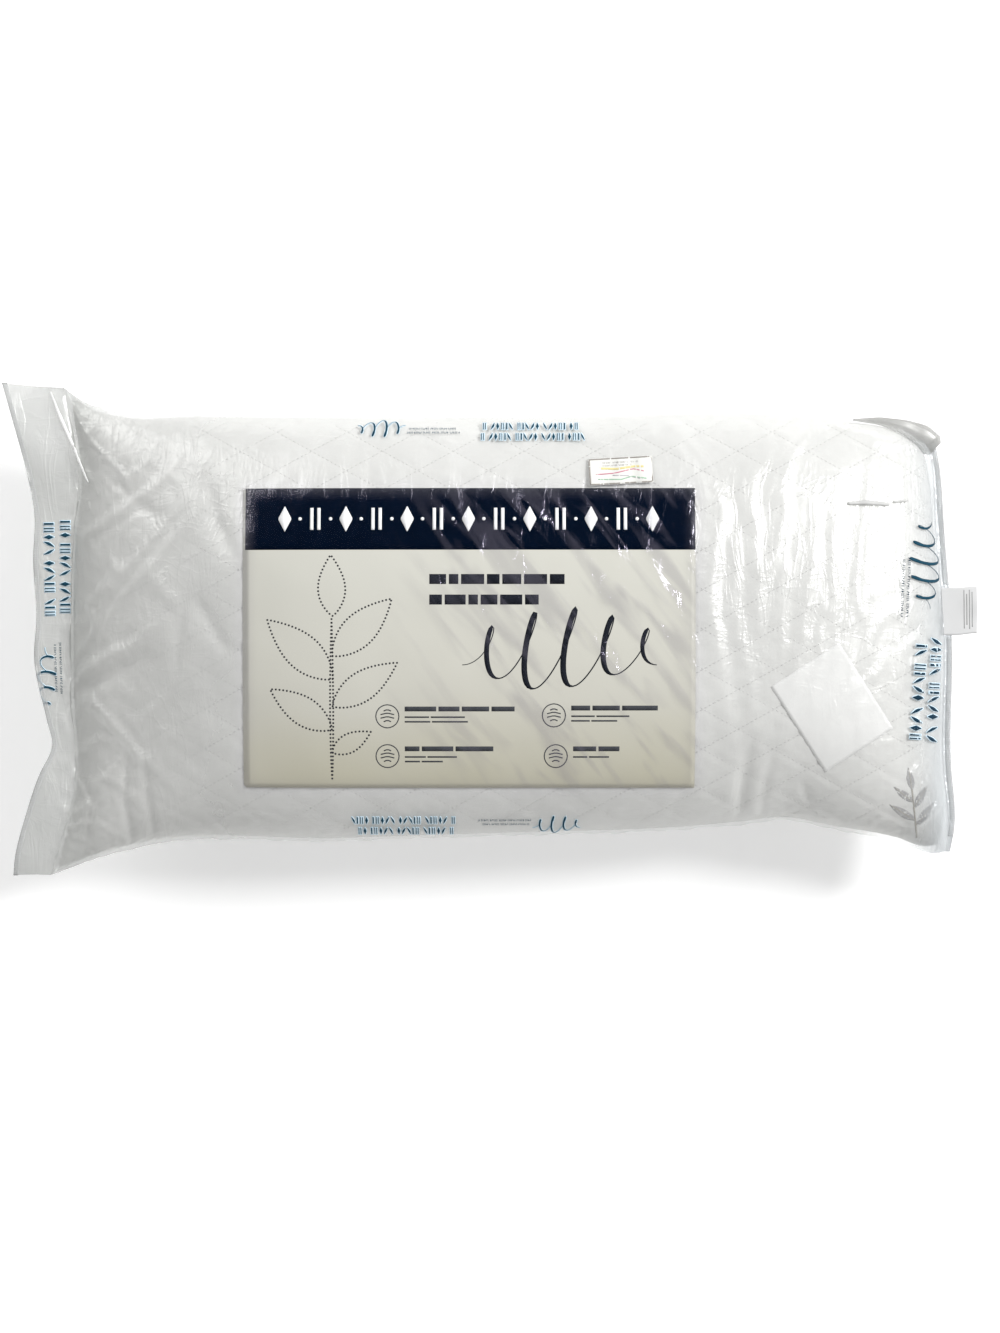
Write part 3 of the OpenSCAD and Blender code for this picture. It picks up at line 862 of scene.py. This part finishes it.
def ornaments(marks, place, x, y, length, height, seed, grow=0.0):
    """A row of small leaves, bars and diamonds in groups, in millimetres, like a line of print seen from afar."""
    end, k = x + length, seed
    while x < end:
        kind = (k * 3 + k // 5) % 5
        wide = height * (0.56, 0.22, 0.50, 0.58, 0.30)[kind]
        middle, low, high = x + wide / 2, y - height / 2 - grow, y + height / 2 + grow
        lean = (0.26, 0.0, 0.0, -0.26, 0.0)[kind] * height
        thick = (0.34, 0.20, 0.46, 0.30, 0.12)[kind] * height + 2 * grow
        fine = thick if kind in (1, 4) else 0.06 * height + 1.2 * grow
        path = [place(middle - lean, low), place(middle - 0.2 * lean, y), place(middle + lean, high)]
        marks.strip(path, np.array([fine, thick, fine]) * MM, 1, 0.26 * height * MM)
        if kind == 4:
            second = middle + 0.3 * height
            marks.strip([place(second, low), place(second, high)], thick * MM, 1, height * MM / 2)
            x += 0.3 * height
        k += 1
        x += wide + height * (0.20 if k % 5 else 0.62)


def scroll(marks, place, x, y, length, height, stroke, loops, grow=0.0):
    """A slanted pen scroll in millimetres: loops, tallest in the middle, and thick where the pen comes down."""
    t = np.linspace(0, 1, 36 * loops)
    turn = 2 * math.pi * loops * t
    tall = height / 2 * (0.4 + 0.6 * np.sin(math.pi * t ** 0.9) ** 1.5)
    up = -tall * np.cos(turn)
    along = x + length * t + 0.25 * length / loops * np.sin(turn) + 0.3 * up
    step_x, step_y = np.gradient(along), np.gradient(up)
    down = np.clip(-step_y / np.hypot(step_x, step_y), 0, 1)
    width = stroke * (0.22 + 0.78 * down ** 1.3) * (0.45 + 0.55 * np.sin(math.pi * np.clip(t, 0.01, 0.99)) ** 0.4)
    path = [place(a, y + b) for a, b in zip(along, up)]
    marks.strip(path, (width + 2 * grow) * MM, 1, 0.035 * height * MM + 0.4 * MM)


# --- The insert card and its print ---
CARD_WALL, CARD_DEPTH = 0.3 * MM, 1.3 * MM
CARD_PRINT = 0.05 * MM
BAND_HEIGHT = 59

# The sprig's leaves and stem on the card, in millimetres: foot, angle, length and width
CARD_SPRIG = [
    ((84, 122), 92, 58, 26), ((84, 160), 44, 78, 31), ((84, 182), 138, 84, 33), ((84, 208), 34, 74, 28),
    ((83, 230), 147, 70, 27), ((83, 252), 28, 42, 18), ((83, 277), 90, 152, 3),
]
# The round marks and what is beside each, in millimetres: centre, lengths of the title's bars, and of the lines
CARD_NOTES = [
    (136, 217.5, (30, 20, 26, 22), (58, 61)), (136, 255.5, (14, 30, 36), (50, 36)),
    (294.5, 216.6, (18, 26, 34), (56, 44)), (296.4, 255.5, (22, 20), (34,)),
]


def on_card(x, y):
    """A place on the card, from millimetres right of its left edge and below its upper edge."""
    return (card_low.x + x * MM, card_high.y - y * MM)


def leaf_outline(foot, angle, length, width):
    """The closed outline of a pointed leaf, in millimetres, with y downwards."""
    t = np.linspace(0, 1, 30)
    half = width * np.sin(math.pi * t ** 0.85) ** 0.9 / 2
    side = np.concatenate([np.stack([t * length, half], -1), np.stack([t[::-1] * length, -half[::-1]], -1)[1:-1]])
    turned = [rotated(a, b, angle) for a, b in side]
    return [(foot[0] + dx, foot[1] - dy) for dx, dy in turned]


def insert_card():
    """A card folded into three leaves, and its print."""
    cream = card_board()
    # Each leaf lies deeper by so many millimetres, and its edges are off the card's own
    for name, down, left, right, low, high, nodes in (
        ("card_front", 0, 0, 0, 0, 0, ["insert_card"]), ("card_middle", 0.4, -1.1, -1.5, 1, -1, []),
        ("card_back", 0.8, -2.2, -3, 2, -1, []),
    ):
        leaf = Marks(even_tree(CARD_DEPTH + down * MM), 0.0)
        leaf.sheet(lambda x, y: (x, y), np.linspace(card_low.x + left * MM, card_high.x + right * MM, 90),
                   np.linspace(card_low.y + low * MM, card_high.y + high * MM, 60))
        leaf.build(name, cream, CARD_WALL, "printed_card", *nodes)
    tree, offset = even_tree(CARD_DEPTH), CARD_WALL + 0.06 * MM

    band, middle = Marks(tree, offset), BAND_HEIGHT / 2
    card_width = (card_high.x - card_low.x) / MM
    band.strip([on_card(0, middle), on_card(card_width, middle)], BAND_HEIGHT * MM, 14, 5 * MM)
    band.build("card_band", ink("navy_ink", (0.0001, 0.0028, 0.0105), 0.6), CARD_PRINT)

    white = Marks(tree, offset + CARD_PRINT + 0.03 * MM)
    first, pitch, count = 38, 29.2, 13
    for k in range(count):
        x = first + k * pitch
        if k % 2 == 0:
            diamond = [on_card(x, middle + y) for y in (-12, 0, 12)]
            white.strip(diamond, [0.4 * MM, 13 * MM, 0.4 * MM], 2, 2 * MM)
        else:
            for side in (-3.4, 3.4):
                white.strip([on_card(x + side, middle - 10.5), on_card(x + side, middle + 10.5)], 3.2 * MM)
        if k < count - 1:
            white.disc(on_card(x + pitch / 2, middle), 1.7 * MM)
    white.build("card_band_ornament", ink("white_ink", (0.80, 0.81, 0.82)), CARD_PRINT)

    dark = Marks(tree, offset)
    for leaf in CARD_SPRIG:
        dotted(dark, leaf_outline(*leaf), 3.5, 1.0, on_card, 1.5)
    dark.build("card_sprig", ink("grey_ink", (0.045, 0.045, 0.05)), CARD_PRINT)

    words = Marks(tree, offset)
    bars(words, on_card, 176, 87, (16, 9, 22, 12, 18, 22, 14), 9.5)
    bars(words, on_card, 176, 106.5, (12, 20, 9, 16, 21, 13), 9.5)
    scroll(words, lambda x, y: on_card(x, 153 - y), 212, 0, 185, 78, 5.6, 5)
    words.build("card_heading", ink("black_ink", (0.012, 0.014, 0.020)), CARD_PRINT)

    notes = Marks(tree, offset)
    for x, y, title, lines in CARD_NOTES:
        turns = np.linspace(0, 2 * math.pi, 40, endpoint=False)
        notes.strip([on_card(x + 11 * math.cos(a), y + 11 * math.sin(a)) for a in turns], 1.0 * MM, shut=True)
        for k, half in enumerate((3.5, 6.5, 6.5, 3.5)):
            level = y - 5 + 3.4 * k
            notes.strip([on_card(x - half, level), on_card(x, level - 1.6), on_card(x + half, level)], 1.1 * MM)
        bars(notes, on_card, x + 16.5, y - 7, title, 4.6, 2.2)
        for k, length in enumerate(lines):
            bars(notes, on_card, x + 16.5, y + 0.8 + 4.4 * k, (0.4 * length, 0.56 * length), 1.5, 1.6)
    notes.build("card_notes", ink("slate_ink", (0.05, 0.053, 0.06)), CARD_PRINT)


# --- Stitches ---
def stitches(name, starts, ends, ups, width, node):
    """Raised white stitches from each start to each end, in one mesh."""
    starts, ends, ups = (np.asarray(a, float).reshape(-1, 3) for a in (starts, ends, ups))
    side = np.cross(ends - starts, ups)
    side /= np.linalg.norm(side, axis=1, keepdims=True) + 1e-12
    rings = []
    for share, size in ((0.0, 0.45), (0.5, 1.0), (1.0, 0.45)):
        centre = starts * (1 - share) + ends * share + ups * (width * (size - 0.6) * 0.6)
        for a, b in ((1, 0), (0, 1), (-1, 0), (0, -1)):
            rings.append(centre + (side * a + ups * b * 0.8) * (size * width / 2))
    one = [[3, 2, 1, 0], [8, 9, 10, 11]]
    for first in (0, 4):
        one += [[first + k, first + (k + 1) % 4, first + 4 + (k + 1) % 4, first + 4 + k] for k in range(4)]
    faces = (np.arange(len(starts))[:, None, None] * len(rings) + np.array(one)).reshape(-1, 4)
    fix(mesh_object(name, np.stack(rings, axis=1), faces, WHITE), "white_thread", node)


def quilting(tree, side, pitch, name, node):
    """Rows of stitches along the grooves of the quilting."""
    first_x, length, half_width, least_facing = -0.405, 0.86, 0.2, 0.45
    step = pitch / math.hypot(QUILT_X, QUILT_Y) * QUILT_X
    run = 0.72 * step
    found = []

    def landing(x, y):
        hit = tree.ray_cast(Vector((x, y, SEAM_Z + side)), Vector((0, 0, -side)))
        return None if hit[0] is None or hit[1].z * side < least_facing else hit

    for slope in (1, -1):
        for line in range(-18, 19):
            for k in range(int(length / step)):
                x = first_x + k * step
                y = slope * (2 * line * QUILT_Y - x * QUILT_Y / QUILT_X)
                if abs(y) > half_width or (side > 0 and near_sprig(x, y)):
                    continue
                a, b = landing(x, y), landing(x + run, y - slope * run * QUILT_Y / QUILT_X)
                if a and b:
                    found.append((a[0], b[0], a[1]))
    stitches(name, *zip(*found), 0.7 * MM, node)


def stitch_path(path, pitch, fill):
    """The starts and ends of even stitches along a path."""
    far = travelled(path)
    first = np.arange(0, far[-1] - pitch, pitch)
    return read(path, far, first), read(path, far, first + fill * pitch)


def edge_stitches():
    """The edge seam's thread, and a shorter row beside it where the pillow was closed."""
    t, one = np.linspace(-1, 1, 240), np.ones(240)
    runs = [(t, -one), (one, t), (t[::-1], one), (-one, t[::-1])]
    u, v = (np.concatenate([run[k][:-1] for run in runs]) for k in (0, 1))
    loop = surface(u, v, COVER_DEPTH - 0.3 * MM, 1, COVER_CORNER)
    a, b = stitch_path(np.vstack([loop, loop[:1]]), 4 * MM, 0.75)
    outwards = np.where(np.abs(a[:, :1]) > 0.40, [[1, 0, 0]], [[0, 1, 0]]) * np.sign(a + b)
    stitches("seam_stitches", a, b, outwards, 0.8 * MM, "seam_thread")
    half_width = 210 * MM
    v = np.linspace(closing_low.y, closing_high.y, 60) / half_width
    path = surface(np.full(60, -1.0), v, COVER_DEPTH - 0.2 * MM, 1)
    path[:, 2] += 2.2 * MM
    a, b = stitch_path(path, 3.4 * MM, 0.7)
    stitches("closing_stitches", a, b, np.tile([[-1.0, 0, 0.2]], (len(a), 1)), 0.8 * MM, "closing_thread")


# --- Embroidery, label, leaflet and sticker ---
SPRIG_FOOT, SPRIG_TURN = (413, -197), 8
# Leaves of the embroidered sprig in millimetres from its foot: x, y, angle, length and width
SPRIG_LEAVES = [
    (0, 8, 44, 28, 8), (0, 13, 140, 31, 8), (0, 26, 50, 25, 7.5), (0, 31, 134, 25, 7.5), (0, 43, 92, 23, 7.5),
]
# The room the sprig takes in millimetres: half its width, its middle above the foot, and half its height
SPRIG_ROOM = (31, 30, 40)


def near_sprig(x, y):
    half_width, middle, half_height = SPRIG_ROOM
    return abs(x / MM - SPRIG_FOOT[0]) < half_width and abs(y / MM - SPRIG_FOOT[1] - middle) < half_height


def embroidery(tree):
    """A small sprig in satin stitch: rows of thread laid across each leaf, and a stem."""
    place = placed(*SPRIG_FOOT, SPRIG_TURN)
    grey, taupe = Marks(tree, 0.05 * MM), Marks(tree, 0.15 * MM)
    row, wall, slot = 0.8, 0.45 * MM, "grey_thread"
    for x0, y0, angle, length, width in SPRIG_LEAVES:
        def in_leaf(a, b):
            dx, dy = rotated(a, b, angle)
            return place(x0 + dx, y0 + dy)

        for k in range(1, int(length / row)):
            t = k * row / length
            half = width / 2 * math.sin(math.pi * t ** 0.8)
            ends = [in_leaf(t * length + 0.9, half), in_leaf(t * length - 0.9, -half)]
            grey.strip(ends, 0.66 * MM, 1, 1.5 * MM)
        taupe.strip([in_leaf(1, 0), in_leaf(length - 2, 0)], 0.8 * MM, 1, 2 * MM)
    for k in range(60):
        taupe.strip([place(-0.8, -4 + row * k), place(0.8, -3.4 + row * k)], 0.7 * MM, 1)
    grey.build("sprig_leaves", thread("grey_thread", (0.36, 0.355, 0.36)), wall, slot, "corner_embroidery")
    taupe.build("sprig_stem", thread("taupe_thread", (0.40, 0.375, 0.32)), wall, slot)


def care_label():
    """A satin ribbon folded in half, its two ends caught in the end seam."""
    root, tip, gap = sewn_low.x - 4 * MM, tab_high.x, 0.9 * MM
    width, middle = tab_high.y - tab_low.y, (tab_low.y + tab_high.y) / 2
    rows, columns, turn = 26, 25, 10
    reach = tip - gap / 2 - root
    run = root + np.linspace(0, reach, rows)
    arc = np.linspace(-90, 90, turn)[1:-1] * math.pi / 180
    x = np.concatenate([run, root + reach + np.cos(arc) * gap / 2, run[::-1]])
    z = np.concatenate([np.full(rows, -gap / 2), np.sin(arc) * gap / 2, np.full(rows, gap / 2)])
    out = smoothstep(LABEL_X - 4 * MM, tip, x)[:, None]
    across = np.linspace(-width / 2, width / 2, columns)
    ripple = 1.1 * np.sin(across / (9 * MM) + 0.7) + 0.5 * np.sin(across / (4.3 * MM))
    points = np.empty((len(x), columns, 3))
    points[..., 0] = x[:, None] - 1.0 * MM * out * (1 - np.cos(across / width * 2.4))
    points[..., 1] = middle + across * (1 - 0.015 * out) + 1.5 * MM * out
    points[..., 2] = LABEL_Z + z[:, None] * (0.45 + 0.9 * out) + ripple * 0.8 * MM * out
    faces = grid_faces(len(x), columns)
    ribbon = mesh_object("care_label", points, faces, satin())
    solidify(ribbon, 0.22 * MM, 0)
    lines = Marks(tree_of(points, faces), 0.16 * MM)
    for k, length in enumerate((34, 38, 30, 37, 26)):
        px = tip - (5.5 + 2.6 * k) * MM
        if px > LABEL_X + 2.7 * MM:
            ends = [(px, middle + (2 + length / 2) * MM), (px + 0.4 * MM, middle + (2 - length / 2) * MM)]
            lines.strip(ends, 0.9 * MM, 1, 3 * MM)
    printed = lines.build("care_label_print", ink("label_grey_ink", (0.30, 0.30, 0.30)), 0.04 * MM, body="label")
    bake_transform(ribbon)
    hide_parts("care_label_sewn_end", "care_label_tab")


def leaflet():
    """A folded sheet of white paper, lying askew under the film."""
    page = Marks(even_tree(2.0 * MM), 0.0)
    page.sheet(placed(322, -137, 33), np.linspace(0, 78, 24), np.linspace(0, 98, 30))
    page.build("leaflet", paper("leaflet_paper", (0.83, 0.83, 0.82)), 0.15 * MM, "leaflet_paper", "paper_leaflet")


def contents_sticker(tree):
    """A small paper sticker on the film, with a frame and thin coloured lines."""
    place = placed(126, 151.5, 3.2)
    wide, deep, offset, printed = 61, 26, 0.25 * MM, 0.04 * MM
    label = Marks(tree, offset)
    label.sheet(place, np.linspace(-wide / 2, wide / 2, 22), np.linspace(-deep / 2, deep / 2, 10))
    label.build("sticker", paper("sticker_paper", (0.74, 0.74, 0.71)), 0.12 * MM, "sticker_paper", "contents_sticker")
    top = offset + 0.16 * MM
    border = Marks(tree, top)
    a, b = wide / 2 - 0.9, deep / 2 - 0.9
    border.strip([place(-a, -b), place(a, -b), place(a, b), place(-a, b)], 1.2 * MM, 1, 2.5 * MM, shut=True)
    for seed, length, y0 in ((3, 34, 8.2), (4, 28, 5.4)):
        ornaments(border, place, -17, y0, length, 1.7, seed)
    border.build("sticker_frame", ink("taupe_ink", (0.26, 0.24, 0.22)), printed)
    for name, color, path, width in (
        ("yellow", (0.66, 0.58, 0.28), [(-20, 3.2), (-4, 1.8), (14, 3.6), (22, 2.8)], 2.0),
        ("red", (0.52, 0.20, 0.26), [(-24, -2.6), (-6, -2.2), (12, 1.2), (22, -1.6)], 1.0),
        ("green", (0.30, 0.46, 0.33), [(-22, -7.4), (0, -8.6), (10, -6.0), (24, -8.8)], 1.1),
        ("grey", (0.40, 0.38, 0.40), [(-8, -4.2), (6, -5.2), (20, -9.2)], 0.9),
    ):
        line = Marks(tree, top)
        line.strip([place(*p) for p in path], width * MM, 1, 2.5 * MM)
        line.build("sticker_line_" + name, ink(name + "_ink", color), printed)


# --- Print and welds of the film ---
# Blocks of print: name, body, ink and the width of its pale edge, then rows of ornaments, finer rows that
# have no pale edge, and pen scrolls. Each of those is a place and turn, then what its function is given.
PRINTS = [
    ("top", "pack", "teal", 0.7,
     [((92, 190, 180), 0, 5, 100, 6.5, 1), ((92, 190, 180), 6, -5.5, 90, 6.5, 3)],
     [((-28, 193, 180), 0, 4, 50, 2.2, 4), ((-28, 193, 180), 4, 0, 44, 2.2, 5)],
     [((-28, 193, 180), 53, 0, 46, 17, 1.9, 4)]),
    ("bottom", "pack", "teal", 0.7,
     [((-132, -188, 0), 0, 5, 100, 6.5, 1), ((-132, -188, 0), 6, -5.5, 90, 6.5, 3)],
     [((-10, -187, 0), 0, 4, 50, 2.2, 4), ((-10, -187, 0), 4, 0, 44, 2.2, 5)],
     [((-10, -187, 0), 53, 0, 46, 17, 1.9, 4)]),
    ("right", "pack", "navy", 0.8,
     [((409, -106, 86), 0, 0, 92, 11, 6), ((426, -108, 87), 0, 0, 100, 11, 8)],
     [((395, 12, 87), 0, 0, 54, 3.0, 8), ((395, 12, 87), 0, -5.6, 56, 3.0, 9)],
     []),
    ("tail", "tail_bend", "teal", 0.8,
     [((-411, 106, -90), 0, 0, 92, 9.5, 2), ((-427, 104, -89), 0, 0, 92, 9.5, 5)],
     [((-416, -12, -88), 0, 0, 50, 2.4, 3), ((-421, -12, -88), 2, 0, 46, 2.4, 4)],
     [((-427, -18, -93), 0, 0, 60, 18, 2.2, 4)]),
]


def film_print(tree):
    """Blocks of teal and navy print on the film, each with a faint pale edge round it."""
    inks = {"teal": ink("teal_ink", (0.012, 0.05, 0.08)), "navy": ink("film_navy_ink", (0.010, 0.032, 0.055))}
    halo = ink("pale_blue_ink", (0.55, 0.68, 0.76))
    thickness, low, high = 0.03 * MM, 0.2 * MM, 0.34 * MM
    for name, body, color, edge, rows, fine_rows, scrolls in PRINTS:
        for layer, material, offset, grow in (("halo", halo, low, edge), ("ink", inks[color], high, 0.0)):
            marks = Marks(tree, offset)
            for place, *row in rows:
                ornaments(marks, placed(*place), *row, grow)
            for place, *row in fine_rows if layer == "ink" else []:
                ornaments(marks, placed(*place), *row)
            for place, *row in scrolls:
                scroll(marks, placed(*place), *row, grow * 0.8)
            marks.build("film_print_{}_{}".format(name, layer), material, thickness, body=body)
    marks = Marks(tree, high)
    scroll(marks, placed(418, 22, 88), 0, 0, 84, 32, 3.0, 5)
    marks.build("film_print_right_scroll", inks["teal"], thickness)


def tail_weld(grid):
    """The strip along the tail's outer edge where the two plies are fused, pressed with fine ribs."""
    rows = grid[:TAIL_COLUMNS, :FILM_TOP_CELLS + 1]
    wanted, fine = np.linspace(-0.3 * MM, 5 * MM, 5), np.linspace(0, FILM_TOP_CELLS, 420)
    strip = np.stack([read(row, travelled(row), wanted) for row in rows.swapaxes(0, 1)], axis=1)
    strip = np.stack([read(line, range(FILM_TOP_CELLS + 1), fine) for line in strip])
    strip[1:-1, ::2, 2] += 0.25 * MM
    obj = mesh_object("tail_weld", strip, grid_faces(len(wanted), len(fine))[:, ::-1], WELD)
    solidify(obj, 1.1 * MM, 0)
    fix(obj, "film_weld", "tail_end_weld", body="film_tail")


def end_weld(grid):
    """The weld at the other end, in two lengths, either side of the care label."""
    points, faces, count, rows = [], [], 120, 4
    rim = grid[-1, :FILM_TOP_CELLS + 1]
    for low, high in ((-200 * MM, tab_low.y - 3 * MM), (tab_high.y + 3 * MM, 176 * MM)):
        y = np.linspace(low, high, count)
        edge = np.interp(y, rim[:, 1], rim[:, 0])
        for i, off in enumerate(np.linspace(0.3 * MM, -5 * MM, rows)):
            rib = 0.2 * MM * (np.arange(count) % 2) * (i in (1, 2))
            points.append(np.stack([edge + off, y, np.full(count, SEAM_Z) + rib], axis=-1))
        faces.append(grid_faces(rows, count, rows * count * len(faces)))
    obj = mesh_object("end_weld", np.concatenate(points), np.concatenate(faces), WELD)
    solidify(obj, 1.0 * MM, 0)
    fix(obj, "film_weld", "label_end_weld")


def folded_corner(tree):
    """The film's spare corner at the upper right, rolled over on itself."""
    path = np.array([(352, 203), (378, 202), (402, 196), (420, 188), (433, 176)], float) * MM
    count, sides = 60, 36
    t = np.linspace(0, 1, count)
    middle = softened(read(path, np.linspace(0, 1, len(path)), t), 8)
    half = np.interp(t, [0, 0.3, 0.75, 0.93, 1], [0.8, 4.5, 10.5, 11.5, 8.0]) * MM
    tall = np.interp(t, [0, 0.4, 0.9, 1], [0.6, 2.2, 5.0, 3.4]) * MM
    side = leftwards(np.gradient(middle, axis=0))
    hits = [tree.ray_cast(Vector((*p, 1)), Vector((0, 0, -1)))[0] for p in middle]
    ground = softened(np.array([max(hit.z, SEAM_Z) if hit else SEAM_Z for hit in hits]), 60)
    points = []
    for k, z in enumerate(ground):
        for a in np.linspace(0, 2 * math.pi, sides, endpoint=False):
            pleat = 1 + 0.07 * math.sin(3 * a + 4 * t[k]) + 0.03 * math.sin(7 * a - 5 * t[k])
            across = middle[k] + side[k] * half[k] * math.cos(a) * pleat
            points.append((*across, z + tall[k] * (0.6 + math.sin(a) * pleat)))
    ring = np.arange(count * sides).reshape(count, sides)
    after = np.roll(ring, -1, axis=1)
    faces = np.stack([ring[:-1], after[:-1], after[1:], ring[1:]], axis=-1).reshape(-1, 4).tolist()
    # The rolled corner's material carries painted shade in its dark grey colour
    fix(mesh_object("folded_film_corner", points, faces + [ring[0][::-1], ring[-1]], FOLDED_SHADED), "clear_film")


def film_tuck(tree):
    """A grey strip, painted as the shadow line of a tuck where the film is doubled over near the upper right corner,
    and a near-white strip, painted as the highlight along a fold at the root of the tail.
    """
    place = placed(0, 0)
    for name, offset, material, wall, body, bands in (
        # Painted shadow: a grey strip laid on the film where a dark shadow line falls
        ("film_tuck", 1.3, paper("grey_painted_shadow", (0.52, 0.52, 0.51)), 0.5, "pack", [
            ([(343, 120.5), (362, 121.5), (384, 120)], [2.6, 4.0, 3.0]), ([(388, 122.5), (402, 124)], [2.4, 1.8])]),
        # Painted highlight: a near-white strip on the fold, standing for its bright glint
        ("painted_highlight_fold", 1.6, paper("white_painted_highlight", (0.93, 0.93, 0.92)), 0.6, "tail_bend", [
            ([(-425, 231), (-415, 205), (-402, 176), (-387, 143)], [1.0, 3.4, 2.6, 0.6])]),
    ):
        marks = Marks(tree, offset * MM)
        for path, widths in bands:
            marks.strip([place(*p) for p in path], np.array(widths) * MM, 2, 2 * MM)
        marks.build(name, material, wall * MM, "clear_film", body=body)


# --- Build ---
cover_tree = pillow_cover()
wadding, backing = fibre("wadding", (0.66, 0.66, 0.65)), paper("backing_cloth", (0.55, 0.55, 0.54))
inner_layer("wadding_upper", 1, 6 * MM, 5 * MM, wadding, "wadding_top", "wadding")
inner_layer("wadding_lower", -1, 6 * MM, 5 * MM, wadding, "wadding_bottom", "wadding")
inner_layer("backing_upper", 1, 11.3 * MM, 0.6 * MM, backing, "backing_top", "backing_cloth")
inner_layer("backing_lower", -1, 11.3 * MM, 0.6 * MM, backing, "backing_bottom", "backing_cloth")
inner_layer("filling", 0, 12.4 * MM, 0, fibre("fibre_fill", (0.62, 0.64, 0.66)), "fibre_fill", "fibre_fill")
quilting(cover_tree, 1, 4.6 * MM, "quilting_stitches_top", "quilting_thread_top")
quilting(cover_tree, -1, 6 * MM, "quilting_stitches_bottom", "quilting_thread_bottom")
edge_stitches()
embroidery(cover_tree)
film = film_shape()
film_tree = film_bag(film)
tail_weld(film)
end_weld(film)
folded_corner(film_tree)
film_tuck(film_tree)
insert_card()
leaflet()
contents_sticker(film_tree)
film_print(film_tree)
care_label()
